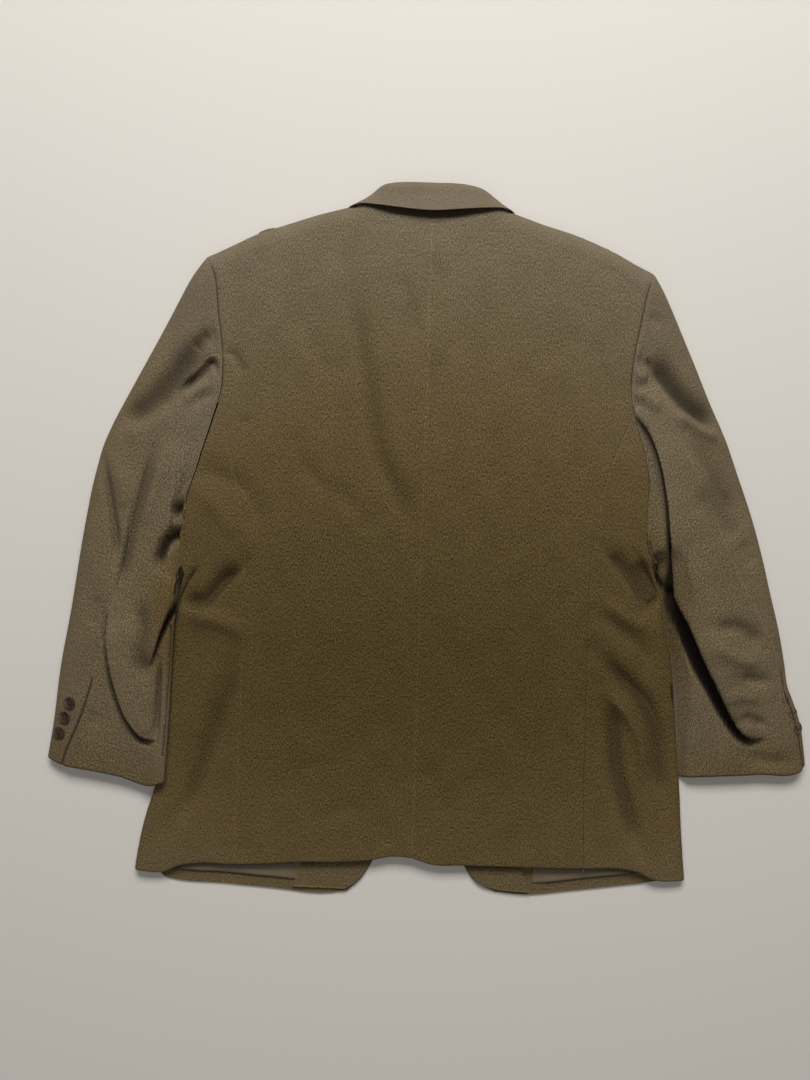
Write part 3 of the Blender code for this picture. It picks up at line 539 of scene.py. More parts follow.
for key, side in SIDES:
    up = spaced(length_of(side["back_seam"]))
    seam, fold = along(side["back_seam"], up), along(side["side_fold"], up)
    junction = share_at(side["armhole"], side["back_seam"][-1])
    across = spaced(PANEL_WIDTH, end=False)
    top = along(side["armhole"], junction + (1 - junction) * across)
    bottom = along(side["hem"], share_at(side["hem"], seam[0]) * (1 - across))
    bottom[0] = seam[0]
    plan = spread(bottom, top, seam, fold, across, up)
    upper = np.dstack([plan, back_height(plan)])
    inward = np.sign(CENTRE_X - fold[:, 0])
    width = UNDER_WIDTH * (1 - 0.75 * up ** 6)
    lower = []
    for share in (0.02, 0.06, 0.12, 0.2, 0.3, 0.42, 0.56, 0.7, 0.84, 0.93, 1.0):
        points = fold + np.stack([inward * width * share, np.zeros(len(up))], axis=1)
        lower.append(np.column_stack([points, front_height(points)]))
    grid = np.concatenate([upper, np.stack(lower, axis=1)], axis=1)
    weave = grid[..., :2].copy()
    weave[:, upper.shape[1]:, 0] = 2 * fold[:, None, 0] - weave[:, upper.shape[1]:, 0]
    painted_sheen = painted_body_sheen(grid[..., :2])
    # Painted shade in the body's creases and slits, none on the part that turns under.
    folds = np.maximum(body_shade(grid[..., :2]), 0.9 * in_folds(grid[..., :2], BODY_SLITS, 1.5, 5))
    folds[:, upper.shape[1]:] = 0.0
    grid, run = press(grid, side is LEFT, (("left", 0.45, 0.25), ("right", 0.3, 0.0),
                                           ("bottom", 0.9, 0.0), ("top", 0.5, 0.0)))
    panel = sheet_of(f"side_body_{key}", grid, weave, seam_wear(run), painted_sheen, WOOL,
                     flip=side is LEFT, fold=folds)
    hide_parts(f"side_{key}")
    side["under_seam"] = grid[:, -1, :2]


# ---------------------------------------------------------------- the fronts
# The jacket lies on its two fronts. They are buttoned left over right, pressed flat by the
# weight above, and their rounded hem corners show below the back's hem.
LAYER = 0.4                 # air between one layer and the next
FRONT_CELL = 6.0
LEFT.update(
    front_hem=[(-309, -398), (-303, -404), (-289, -407), (-234, -410), (-173, -414), (-112, -418),
               (-88, -415)],
    front_edge=[(-88, -415), (-73, -401), (-60, -381), (-41, -330), (-24, -250), (-8, -170),
                (4, -100), (8, -25), (-12, 60), (-56, 200), (-84, 290), (-104, 382.5)])
RIGHT.update(
    front_hem=[(276, -392), (258, -395), (236, -398), (174, -406.5), (118, -413), (87, -411)],
    front_edge=[(87, -411), (64, -401), (48, -381), (26, -330), (6, -250), (-12, -170),
                (-24, -100), (-28, -25), (-10, 60), (31, 200), (58, 290), (78, 381)])
# Creases on the underside: raised parts are pressed in towards the hollow.
FRONT_CREASES = [
    (0.9, 12, 18, [(-232, 210), (-205, 120), (-196, 30), (-210, -50)]),
    (0.7, 14, 10, [(-60, -60), (-110, -95), (-165, -112)]),
    (0.8, 16, 12, [(-235, -205), (-215, -275), (-205, -350)]),
    (0.6, 10, 14, [(-120, 260), (-150, 190), (-170, 110)]),
    (0.9, 18, 12, [(190, 215), (170, 130), (168, 40), (182, -40)]),
    (0.7, 10, 14, [(55, -55), (100, -85), (140, -105)]),
    (0.8, 12, 16, [(205, -200), (182, -270), (176, -345)]),
    (0.6, 12, 10, [(90, 250), (120, 180), (140, 90)]),
    (0.5, 9, 9, [(-95, -230), (-112, -300), (-108, -350)]),
    (0.5, 9, 9, [(70, -235), (92, -300), (88, -352)]),
]
for key, side in SIDES:
    seam = side["under_seam"][:: 3]
    cells = int(length_of(side["armhole"]) / FRONT_CELL)
    armhole = along(side["armhole"], np.linspace(0.985, 0, cells))
    outer = np.vstack([seam, armhole])
    steps = steps_of(outer)
    up = np.concatenate([[0], np.cumsum(steps)]) / steps.sum()
    across = spaced(230.0, cell=FRONT_CELL)
    bottom, top = along(side["front_hem"], across), along(side["shoulder"], across)
    edge = along(side["front_edge"], up)
    bottom[0], top[-1] = outer[0], edge[-1]
    plan = spread(bottom, top, outer, edge, across, up)
    height = front_height(plan) + soft_creases(plan, FRONT_CREASES)
    if side is RIGHT:   # this front gives way to the left one, which is buttoned over it
        x, y = plan[..., 0], plan[..., 1]
        height += (CLOTH + LAYER) * ramp(x, 45, 21) * ramp(y, 120, 90) * ramp(y, -215, -190)
    grid, run = press(np.dstack([plan, height]), side is LEFT,
                      (("left", 0.3, 0.0), ("right", 0.4, 0.0), ("bottom", 0.4, 0.0),
                       ("top", 0.3, 0.0)))
    front = sheet_of(f"forepart_{key}", grid, plan, 0.3 * seam_wear(run), 0.58, WOOL,
                     flip=side is LEFT)
    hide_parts(f"front_{key}")


# ---------------------------------------------------------------- the lapels
# Each lapel is the front and its facing folded back together along the roll line. It lies
# under the front, flat on the table.
LAPEL_THICKNESS = 1.5
LEFT.update(lapel_edge=[(2, -32), (-48, 50), (-108, 150), (-147, 236)],
            roll_line=[(8, -22), (-12, 60), (-56, 200), (-77, 282)])
RIGHT.update(lapel_edge=[(18, 12), (42, 60), (90, 150), (122, 236)],
             roll_line=[(10, 22), (4, 60), (31, 200), (52, 282)])


def strip(edge_a, edge_b, rows, columns):
    """Points of a strip between two edges that run side by side."""
    a, b = along(edge_a, rows)[:, None], along(edge_b, rows)[:, None]
    across = columns[None, :, None]
    return a * (1 - across) + b * across


def laid_flat(plan, flip, roll):
    """A piece flat on the table, whose edges roll up from it a little."""
    grid, run = press(np.dstack([plan, 0.05 + np.zeros(plan.shape[:2])]), flip,
                      [(edge, 0, 0) for edge in ("left", "right", "bottom", "top")])
    grid[..., 2] += roll * bell(run, 1.2)
    return grid, run


for key, side in SIDES:
    rows, columns = spaced(300.0, cell=5.0), spaced(80.0, cell=5.0)
    plan = strip(side["roll_line"], side["lapel_edge"], rows, columns)
    grid, run = laid_flat(plan, side is RIGHT, 0.7)
    lapel = sheet_of(f"folded_lapel_{key}", grid, plan, 0.4 * seam_wear(run), 0.35, WOOL,
                     thickness=LAPEL_THICKNESS, flip=side is RIGHT)
    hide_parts(f"lapel_{key}")


# ---------------------------------------------------------------- the facings
# The wool strip inside each front edge. It shows at the open hem, where its inner edge is
# caught down over the lining with small pick stitches.
FACING_THICKNESS = 1.0
STITCH = Finish("light brown stitch thread", Base_Color=(0.2, 0.17, 0.11, 1), Roughness=0.7).made
LEFT.update(facing_edge=[(-152, -414), (-147, -398), (-142, -385), (-137, -330), (-134, -250)])
RIGHT.update(facing_edge=[(126, -413), (121, -398), (116, -385), (110, -330), (107, -250)])


def below_hem(side, plan):
    """The shade, from 0 to 1, that the back's hem throws below it. It is deepest 2.2 mm away."""
    drop = plan[..., 1] - read_off(sorted(side["hem"]), plan[..., 0])
    return 0.85 * bell(drop + 2.2, 2.2)


def started_from(add, **settings):
    """A new primitive, with nothing else selected."""
    bpy.ops.object.select_all(action="DESELECT")
    add(**settings)
    return bpy.context.object


for key, side in SIDES:
    edge = np.array([p for p in side["front_edge"] if p[1] <= -250], float)
    inner = np.array(side["facing_edge"], float)
    edge[:, 0] += np.sign(edge[:, 0] - CENTRE_X) * 2.0
    edge[0, 1] += 3.0
    inner[0, 1] += 3.0
    plan = strip(edge, inner, spaced(160.0), spaced(85.0))
    height = front_height(plan) + CLOTH + LAYER + 1.2 + 0.5 * unevenness(plan * 1.7)
    grid, run = press(np.dstack([plan, height]), side is RIGHT,
                      (("left", 0, 0), ("right", 0.2, 0.15), ("bottom", 0.5, 0), ("top", 0, 0)))
    facing = sheet_of(f"front_facing_{key}", grid, plan, 0.5 * seam_wear(run), 0.6, WOOL,
                      thickness=FACING_THICKNESS, flip=side is RIGHT, fold=below_hem(side, plan))
    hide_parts(f"facing_{key}")

    # The pick stitches: one small stitch, copied along the inner edge.
    spots = (grid[6:60:4, -3] + [0, 0, 0.25] - [*MIDDLE, 0]) * MM
    stitch = started_from(bpy.ops.mesh.primitive_uv_sphere_add, segments=8, ring_count=6,
                          radius=1.0)
    bpy.ops.object.mode_set(mode="EDIT")
    bpy.ops.mesh.select_all(action="SELECT")
    bpy.ops.transform.resize(value=(0.0014, 0.00055, 0.0004))
    bpy.ops.object.mode_set(mode="OBJECT")
    single = stitch.data.copy()
    stitch.data.clear_geometry()
    loops = bmesh.new()
    for spot in spots:
        one = single.copy()
        one.transform(Matrix.Translation(Vector(spot)))
        loops.from_mesh(one)
        bpy.data.meshes.remove(one)
    loops.to_mesh(stitch.data)
    loops.free()
    bpy.data.meshes.remove(single)
    stitch.name = f"pick_stitches_{key}"
    stitch.data.shade_smooth()
    stitch.data.materials.append(STITCH)
    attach(stitch, "root")


# ---------------------------------------------------------------- the hem lining
# Brown satin inside each front, from the facing to the side seam. It ends in a soft turned
# edge a finger's width above the hem, with a thin line of painted shade along it.
LINING_THICKNESS = 0.8
LINING_RISE, LINING_TOP = 13.0, -320.0


def satin(name, colour):
    """Lining with fine streaks across, and painted shade where it turns under and below the back's
    hem.
    """
    cloth = Finish(name, Roughness=0.5, Specular_IOR_Level=0.3, Anisotropic=0.5, Sheen_Weight=0.1)
    painted_shade_colour, full, lit = (tuple(c * share for c in colour) for share in (0.1, 0.8, 1.25))
    streaks = cloth.tones(cloth.grain(cloth.threads(), (300, 2200, 1)), (0.0, full), (1.0, lit))
    return cloth.coloured(cloth.blend("MIX", cloth.reading("fold"), streaks, painted_shade_colour))


SATIN = satin("brown satin", (0.13, 0.1, 0.06))
for key, side in SIDES:
    rows = np.linspace(0.06, 0.78, 70)
    hem = along(side["front_hem"], rows) + [0, LINING_RISE]
    top = np.column_stack([hem[:, 0], np.full(len(hem), LINING_TOP)])
    across = spaced(70.0)[None, :, None]
    plan = hem[:, None] * (1 - across) + top[:, None] * across
    fold = plan[..., 1] - hem[:, None, 1]
    sag = 0.9 * bell(fold - 3.0, 3.0) * (1 + 0.6 * np.sin(plan[..., 0] * 0.09))
    tucked = 1.0 * ramp(rows[:, None], 0.69, 0.73)
    turned = 0.7 * bell(fold, 1.5)
    height = front_height(plan) + CLOTH + LAYER + 0.7 + sag - tucked - turned
    grid = np.dstack([plan, height])
    # Painted shade along the turned edge and below the back's hem.
    shaded = np.maximum(0.95 * bell(fold, 1.3), below_hem(side, plan))
    lining = sheet_of(f"satin_hem_{key}", grid, plan, 0.0, 0.0, SATIN, flip=side is RIGHT,
                      thickness=LINING_THICKNESS, fold=shaded)
    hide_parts(f"lining_{key}")


# ---------------------------------------------------------------- the hip pocket flaps
# Flaps of wool over a satin back, flat on the table under the fronts.
FLAP_THICKNESS, FLAP_TOP, FLAP_DEPTH, FLAP_SLANT = 1.2, -138.0, 50.0, 6.0
LEFT.update(flap=(-175, -294))
RIGHT.update(flap=(150, 281))
for key, side in SIDES:
    near, far = side["flap"]
    top = [(near, FLAP_TOP), ((near + far) / 2, FLAP_TOP + FLAP_SLANT / 2),
           (far, FLAP_TOP + FLAP_SLANT)]
    low = [(x, y - FLAP_DEPTH) for x, y in top]
    plan = strip(top, low, spaced(125.0, cell=4.0), spaced(50.0, cell=4.0))
    grid, run = laid_flat(plan, side is RIGHT, 0.6)
    flap = sheet_of(f"pocket_flap_{key}", grid, plan, 0.4 * seam_wear(run), 0.35, WOOL,
                    thickness=FLAP_THICKNESS, flip=side is RIGHT)
    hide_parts(f"flap_{key}")


# ---------------------------------------------------------------- the sleeves
# Two-piece sleeves, set in at the armhole and laid as flat tubes. The left one lies over the
# body's edge. Deep creases run from each underarm, and one fold laps over the next.
SLEEVE_OVER_BODY = 13.5
SLEEVE_EDGE = 6.0
SLEEVE_OPENS = 0.16         # share of the length in which the tube grows out of the armhole
SLEEVE_LENGTH, SLEEVE_WIDTH = 610.0, 95.0   # set the spacing of the threads
LEFT.update(
    underarm_gap=9.0,
    outer=[(-273, 317), (-286, 299), (-306, 263), (-330, 216), (-354, 169), (-378, 121),
           (-387, 98), (-393, 74), (-398, 51), (-402, 27.5), (-409, -19), (-418, -89),
           (-429, -159.5), (-436, -229.5), (-441.5, -268)],
    inner=[(-276, -46), (-289, -62), (-294, -85), (-297, -138), (-299, -214), (-302, -291)],
    cuff=[(-441.5, -268), (-424, -275), (-389, -281), (-357, -286.5), (-321, -296), (-302, -291)],
    hind_seam=[(-249, 205), (-280, 190), (-300, 159), (-325, 104), (-339, 71), (-350, -12),
               (-370, -93), (-385, -158), (-391, -182), (-397, -206), (-411, -240),
               (-423, -275.5)])
RIGHT.update(
    underarm_gap=3.6,
    outer=[(246, 314), (253, 303), (271, 270), (293, 224), (313, 178), (334.5, 132), (352, 86),
           (369, 40), (383, -6), (395, -52), (407, -98), (414, -133), (418, -156), (427, -179),
           (435, -202), (439, -225), (442.5, -250)],
    inner=[(258, -25), (261, -54), (269, -99), (279, -155), (283, -183),
           (288, -233), (292, -269)],
    cuff=[(442.5, -250), (437, -255.5), (385, -261.5), (326, -266), (292, -269)],
    hind_seam=[(227, 232), (234, 222), (251, 189), (268, 149), (284, 112), (304, 76), (327, 21),
               (362, -47), (393, -104), (410, -150), (424, -195), (434, -225), (438.5, -251.5)])
# Height of the sleeve's crown: share of the way to the cuff, height.
SLEEVE_HEIGHTS = [(0.0, 30), (0.15, 32), (0.4, 29), (0.7, 25), (0.9, 18), (1.0, 15)]
SLEEVE_CREASES = dict(
    left=[
        (-7.0, 22, 14, [(-267, 222), (-287, 203), (-308, 175), (-333, 147), (-372, 120)]),
        (-3.0, 7, 7, [(-262, 228), (-272, 221), (-282, 209)]),
        (-6.0, 5, 4, [(-251, 184), (-261, 196), (-271, 186), (-288, 171), (-297, 163)]),
        (-4.0, 4, 4, [(-256, 158), (-267, 158), (-279, 147)]),
        (3.0, 8, 8, [(-260, 171), (-276, 161), (-296, 151)]),
        (3.0, 14, 14, [(-301, 142), (-330, 123), (-362, 106)]),
        (-5.5, 7, 4, [(-324, 95), (-335, 51), (-348, -3), (-357, -49), (-361, -76)]),
        (2.2, 9, 9, [(-311, 91), (-323, 45), (-334, 0)]),
        (-4.5, 5, 5, [(-383, 80), (-372, 26), (-365, -12), (-366, -42)]),
        (2.0, 8, 8, [(-363, 69), (-355, 23)]),
        (-8.0, 5, 5, [(-288, 32), (-296, 25), (-294, 17)]),
        (3.0, 6, 6, [(-290, 9), (-301, 7)]),
        (-10.0, 5.5, 5.5, [(-280, -6), (-292, -2), (-304, -9), (-312, -25), (-316, -42)]),
        (-14.0, 3.2, 3.2, [(-289, -14), (-286, -32), (-281, -48), (-280, -58)]),
        (1.5, 12, 12, [(-295, -33), (-304, -61), (-314, -84)]),
        (-5.0, 11, 9, [(-340, -76), (-330, -115), (-331, -154), (-322, -176)]),
        (-5.5, 2.4, 3, [(-311, -147), (-312, -198), (-312.5, -244)]),
        (-1.6, 9, 9, [(-385, -75), (-392, -114)]),
        (-1.0, 12, 12, [(-382, -211), (-388, -229)]),
    ],
    right=[
        (-8.5, 17, 10, [(236, 217), (260, 192), (284, 165), (326, 135)]),
        (-2.2, 5, 5, [(222, 214), (234, 211), (246, 208)]),
        (-2.4, 4, 4, [(222, 183), (232, 184), (244, 189)]),
        (-2.8, 4, 4, [(219, 177), (225, 167), (234, 160)]),
        (-3.6, 17, 16, [(296, 66), (328, 40), (352, 8)]),
        (3.0, 7, 7, [(225, 195), (241, 194)]),
        (3.5, 6, 6, [(228, 177), (242, 168), (256, 157)]),
        (4.0, 8, 8, [(270, 153), (301, 138), (329, 125)]),
        (-3.8, 15, 10, [(287, 131), (314, 92), (339, 56), (358, 41)]),
        (-1.6, 10, 10, [(353, 8), (370, -19)]),
        (-4.2, 9, 7, [(324, -91), (356, -92), (384, -113)]),
        (3.2, 9, 9, [(320, -106), (346, -123), (383, -134)]),
        (-2.8, 7, 6, [(356, -150), (395, -153)]),
        (2.4, 7, 7, [(345, -167), (384, -173)]),
        (-3.2, 5, 5, [(359, -192), (373, -196), (392, -205)]),
        (-2.2, 9, 7, [(372, -238), (398, -246), (426, -245)]),
        (-1.4, 6, 6, [(239, 263), (253, 254)]),
        (-0.7, 1.3, 1.3, [(302.5, -191.5), (307, -228), (311, -262)]),
    ],
)
# Folds that lap over the next layer. Numbers along each fold: how far it stands up, half the
# width of its turn, how far it slides over, the depth and the width of the hollow beside it and
# how far its raised side reaches. Then how soon it starts and ends, and its points. The raised
# side is on the left of the way.
SLEEVE_LAPS = dict(
    left=[
        ((5, 9, 10, 10, 8, 4), (3.5, 3.5), (4, 6, 6, 6, 5), (3, 7, 10, 10, 8), (5, 7, 9, 9, 7),
         (45, 42, 34, 24, 16, 10), (0.3, 0.15),
         [(-374, -80), (-372, -105), (-368, -134), (-361, -168), (-352, -198), (-339, -224),
          (-325, -240), (-308, -245)]),
        ((6, 9, 9, 7), (3.0, 3.0), (4, 6, 6, 5), (4, 8, 10, 9), (3, 4, 5, 6),
         (14, 24, 30, 30), (0.25, 0.08),
         [(-323, -166), (-320, -146), (-314, -124), (-303, -97), (-293, -79), (-281, -60)]),
    ],
    right=[
        ((6, 9, 11, 12, 13, 13, 11, 7), (3.5, 3.5, 4, 4.5, 5, 5, 4.5, 4),
         (5, 6, 6, 7, 9, 9, 8, 6), (3, 4, 5, 9, 17, 18, 15, 9),
         (3, 3, 3.5, 5.5, 15, 15, 11, 8), (50, 55, 60, 60, 50, 36, 18, 10), (0.05, 0.08),
         [(221, 151), (236, 141), (248, 123), (258, 96), (267, 54), (273, 8), (278, -23),
          (286, -64), (296, -83), (314, -122), (334, -160), (353, -195), (366, -212),
          (380, -219), (396, -218)]),
        ((4, 6, 6), (2.6, 3.2), (1, 2, 2), (8, 11, 11), (4, 5, 5), (12, 12), (0.2, 0.1),
         [(257, -20), (268, -39), (286, -63)]),
    ],
)


def lapped_folds(plan, laps):
    """How far points move so that one fold of cloth lies over the next, and the painted shade in
    its hollow.
    """
    moved = np.zeros(plan.shape[:-1] + (3,))
    deep = np.zeros(plan.shape[:-1])
    for heights, halves, slides, hollows, widths, reach, ends, points in laps:
        line = along(points, np.linspace(0, 1, 70))
        near = close_to(plan, line, 2.5 * max(reach))
        gap, share, out = beside(plan[near], line)
        height, half, slide, hollow, wide, far = (
            np.interp(share, np.linspace(0, 1, len(v)), v)
            for v in (heights, halves, slides, hollows, widths, reach))
        strength = ramp(share, 0, ends[0]) * ramp(1 - share, 0, ends[1])
        r = gap / half
        move = -slide * r * np.exp(0.5 * (1 - r * r)) * strength
        raised = height * ease((gap + half) / (2 * half))
        raised *= bell(np.maximum(gap - half, 0), far)
        dug = hollow * ease((gap + wide + half) / (0.75 * wide)) * ease((half - gap) / (2 * half))
        moved[near, :2] += move[:, None] * out
        moved[near, 2] += (raised - dug) * strength
        # The hollow's depth also sets its painted shade.
        deep[near] = np.maximum(deep[near], np.clip(dug * strength / 7.5, 0, 1) ** 1.6)
    return moved, deep


def sleeve_plan(side, s, t, above=1.0):
    """Places at shares s of the way to the cuff and t across, from the outer edge."""
    arm, cuff = (along(side[k], t.ravel()).reshape(*t.shape, 2) for k in ("armhole", "cuff"))
    outer, inner = (along(side[k], s.ravel()).reshape(*s.shape, 2) for k in ("outer", "inner"))
    s, t = s[..., None], t[..., None]
    a, c = np.array(side["armhole"], float), np.array(side["cuff"], float)
    early = (1 - s) ** 4
    corners = (early * (1 - t) * a[0] + (1 - early) * (1 - t) * c[0]
               + early * t * a[-1] + (1 - early) * t * c[-1])
    clear = side["underarm_gap"] * ease((t - 0.89) / 0.11) * (1 - ease(s / 0.14))
    plan = early * arm + (1 - early) * cuff + (1 - t) * outer + t * inner - corners
    return plan + clear * np.asarray(above)[..., None] * np.array([np.sign(a[0, 0]), 0.0])


def sleeve_face(key, side, s, q):
    """Points at shares s to the cuff and q around: 0 to 1 over the top, 1 to 2 below."""
    t = np.where(q <= 1, q, 2 - q)
    on_top = q <= 1
    plan = sleeve_plan(side, s, t, 1 - 0.8 * ease((q - 0.985) / 0.03))
    opened = ease(s / SLEEVE_OPENS)
    crown = read_off(SLEEVE_HEIGHTS, s)
    line = along(side["side_fold"], np.linspace(0, 1, 60))
    outside = beside(plan.reshape(-1, 2), line)[0].reshape(s.shape) * (1 if key == "left" else -1)
    if key == "left":   # it lies over the body's edge
        under = SLEEVE_OVER_BODY * ease((t - 0.72) / 0.25) * ease((s + 0.02) / 0.12)
        edge = under + SLEEVE_EDGE * (1 - 0.25 * t)
        lid = 99.0
    else:               # its inner edge goes in below the body's
        under = np.zeros_like(s)
        edge = SLEEVE_EDGE - (SLEEVE_EDGE - 1.7) * ease((t - 0.8) / 0.15) * ease(s / 0.1)
        lid = 3.3 + 1.1 * np.maximum(outside - 1.5, 0) + 30 * (1 - ease(s / 0.06))
    across = np.abs(2 * t - 1)
    top_round = (1 - across ** 3) ** (1 / 3)
    under_round = (1 - across ** 7) ** (1 / 7)
    shaped = np.maximum(crown - 0.25 * (crown - 12) * t, edge + 6)
    lapped, deep = lapped_folds(plan, SLEEVE_LAPS[key])
    folds = soft_creases(plan, SLEEVE_CREASES[key]) + lapped[..., 2] + unevenness(plan)
    # Painted shade in the creases and in the hollows beside the laps, on the top only.
    shade = np.maximum(0.85 * in_folds(plan, SLEEVE_CREASES[key], 2, 15), deep) * on_top
    # Painted shade in the turn under the arm. It takes in the whole underside beside the armhole.
    pit = ease((q - 0.965) / 0.02) * (1 - ease((s - 0.06) / 0.08))
    shade = np.maximum(shade, pit)
    tube_top = edge + (shaped - edge) * top_round
    tube_under = edge - (edge - under) * under_round
    armhole = sleeve_plan(side, np.zeros_like(s), t)
    top = (1 - opened) * back_height(armhole) + opened * tube_top
    below = (1 - opened) * front_height(armhole) + opened * tube_under
    free = ease(s / 0.02) * (1 - across ** 24)
    top = np.minimum(top + folds * free, lid)
    top = np.maximum(top, below + 2.8 * (1 - across ** 24) * ease(s / 0.02))
    slid = lapped[..., :2] * (ease(s / 0.02) * (1 - across ** 4) * on_top)[..., None]
    return np.dstack([plan + slid, np.where(on_top, top, below)]), shade


for key, side in SIDES:
    s, t = np.meshgrid(np.linspace(0, 1, 300), np.linspace(0, 1, 500), indexing="ij")
    plan = sleeve_plan(side, s, t).reshape(-1, 2)
    found = []
    # The hind seam's points are found on the top, and a smooth curve is laid through them.
    for point in along(side["hind_seam"], np.linspace(0, 1, 60)):
        k = np.argmin(np.linalg.norm(plan - point, axis=1))
        found.append((s.ravel()[k], t.ravel()[k]))
    found = np.array(sorted(found))
    s = spaced(SLEEVE_LENGTH)
    hind = np.polyval(np.polyfit(found[:, 0], found[:, 1], 9), s)
    hind[0] = share_at(side["armhole"], side["hind_seam"][0])
    below = 2 - np.concatenate([np.linspace(0.9, 0.1, 26), np.array([0.06, 0.03, 0.015, 0.005])])
    over_top = spaced(SLEEVE_WIDTH, start=False)
    top_q = np.hstack([np.tile(below - 2.0, (len(s), 1)), hind[:, None] * over_top])
    top_q = np.where(top_q < 0, top_q + 2.0, top_q)
    inner_turn = np.array([0.97, 0.985, 0.995, 1.0, 1.005, 1.015, 1.03, 1.06, 1.1])
    reach = spaced(SLEEVE_WIDTH, end=False) * 0.96
    under_q = np.hstack([hind[:, None] + (1 - hind[:, None]) * reach[None],
                         np.tile(inner_turn, (len(s), 1))])
    vent = ramp(s[:, None], 0.77, 0.8)
    for name, q, edges in (("top", top_q, (("left", 0.3, 0), ("right", 0.4 + 1.6 * vent, 0.2))),
                           ("under", under_q, (("left", 0.4 + 0.6 * vent, 0.2 + vent),
                                               ("right", 0.3, 0)))):
        rows = np.tile(s[:, None], (1, q.shape[1]))
        grid, shade = sleeve_face(key, side, rows, q)
        way = np.mean(side["cuff"], axis=0) - np.mean(side["armhole"], axis=0)
        way /= np.linalg.norm(way)
        inner = np.where(q <= 1, q, 2 - q)
        outward = grid[..., 0] * way[1] - grid[..., 1] * way[0]
        # The weave is laid on a smooth round, so that the creases don't stretch it.
        level = SLEEVE_EDGE + 22 * (1 - np.abs(2 * inner - 1) ** 3) ** (1 / 3)
        level = np.where(q <= 1, level, grid[..., 2])
        weave = np.dstack([outward * np.sign(way[0]) + level * (1 - 2 * inner),
                           grid[..., :2] @ way])
        at_tip = ramp(np.where(q[:1] <= 1, q[:1], 2 - q[:1]), 0.0, 0.1)
        grid, run = press(grid, key == "left", (*edges, ("bottom", 1.5 * at_tip, 0.7 * at_tip),
                                                ("top", 0.9, 0.0)))
        # Painted sheen on the sleeves: most near the armhole's outer half, less towards the cuff.
        painted_sleeve_sheen = 0.72 + 0.12 * (1 - ramp(rows, 0.0, 0.35)) - 0.12 * ramp(rows, 0.85, 1.0)
        painted_sleeve_sheen = painted_sleeve_sheen - 0.3 * ramp(inner, 0.5, 1.0) * (1 - ramp(rows, 0.35, 0.7))
        # Painted shade along the vent's lapped edge, on the top.
        painted_vent_shade = vent * bell(run, 1.3) * (q < 1)
        sleeve = sheet_of(f"{name}_sleeve_{key}", grid, weave, seam_wear(run) * (1 - vent), painted_sleeve_sheen,
                          WOOL, flip=key == "left", fold=np.maximum(shade, 0.65 * painted_vent_shade))
        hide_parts(f"sleeve_{name}_{key}")


# ---------------------------------------------------------------- the collar
# A stand rises from the neck seam, folds over and falls as the leaf. It stands off the back by a
# finger's width and throws a deep shadow, also painted on the back. Its ends go under, to the
# lapels.
COLLAR_TURN = 2.4
COLLAR = [
    ((-86, 292, 6.2), (-72, 294, 4.6), (-120, 266, 0.8), (0, 0, -1)),
    ((-98, 340, 6.2), (-82, 344, 4.6), (-126, 318, 0.8), (0, 0, -1)),
    ((-103, 362, 8.0), (-88, 370, 7.5), (-117, 361, 1.0), (-0.2, 0, -0.95)),
    ((-103, 375, 12.0), (-93, 384, 12.0), (-110, 379, 10.0), (-0.5, 0.35, -0.7)),
    ((-100, 374, 11.0), (-98, 382, 18.0), (-110, 379, 20.0), (-0.6, 0.6, 0.5)),
    ((-88, 376, 20.0), (-83, 391.5, 27.0), (-97, 381, 34.0), (-0.25, 0.1, 0.96)),
    ((-68, 379, 25.0), (-69, 400.5, 32.0), (-75, 379, 38.5), (-0.1, 0.05, 1)),
    ((-55, 380, 27.0), (-58, 402.8, 33.5), (-55, 376.5, 40.5), (0, 0, 1)),
    ((-13, 380, 29.0), (-13, 403.8, 35.0), (-13, 373, 43.0), (0, 0, 1)),
    ((28, 380, 27.0), (28, 402.8, 33.5), (28, 377, 40.5), (0, 0, 1)),
    ((44, 379, 25.0), (42, 400, 32.0), (46, 379, 38.5), (0.1, 0.05, 1)),
    ((61, 376, 20.0), (58, 391.5, 27.0), (70, 380.5, 34.0), (0.25, 0.1, 0.96)),
    ((72, 374, 11.0), (71, 382.5, 18.0), (82, 379, 20.0), (0.6, 0.6, 0.5)),
    ((77, 373, 12.0), (67, 382, 12.0), (85, 377, 10.0), (0.5, 0.35, -0.7)),
    ((77, 360, 8.0), (62, 368, 7.5), (91, 359, 1.0), (0.2, 0, -0.95)),
    ((72, 338, 6.2), (56, 342, 4.6), (100, 316, 0.8), (0, 0, -1)),
    ((60, 292, 6.2), (46, 294, 4.6), (94, 266, 0.8), (0, 0, -1)),
]
rows = along(np.array([[*n, *f, *e, *b] for n, f, e, b in COLLAR], float),
             np.linspace(0, 1, 190))
lines = []
for row in rows:
    neck, fold, edge, facing = row[0:3], row[3:6], row[6:9], row[9:12]
    facing = facing / np.linalg.norm(facing) * COLLAR_TURN
    rise = (fold - neck) / np.linalg.norm(fold - neck)
    section = [neck, neck * 0.5 + (fold - facing) * 0.5, fold - facing,
               fold + rise * COLLAR_TURN, fold + facing,
               (fold + facing) * 0.55 + edge * 0.45, edge]
    places = np.concatenate([np.linspace(0, 0.36, 9), np.linspace(0.38, 0.62, 16),
                             np.linspace(0.65, 0.96, 14), [0.975, 0.99, 1.0]])
    lines.append(along(section, places))
grid = np.stack(lines, axis=1)
grid[..., 2] = np.maximum(grid[..., 2], CLOTH / 2 + 0.8)
collar_run = np.linalg.norm(grid - grid[-1][None], axis=-1)
weave = np.dstack([np.tile(np.linspace(0, 430, grid.shape[1]), (grid.shape[0], 1)),
                   np.tile(np.linspace(0, 80, grid.shape[0])[:, None], (1, grid.shape[1]))])
collar = sheet_of("turned_collar", grid, weave, 0.5 * seam_wear(collar_run), 0.95, WOOL)
collar.modifiers[0].offset = 0.0
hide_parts("collar")


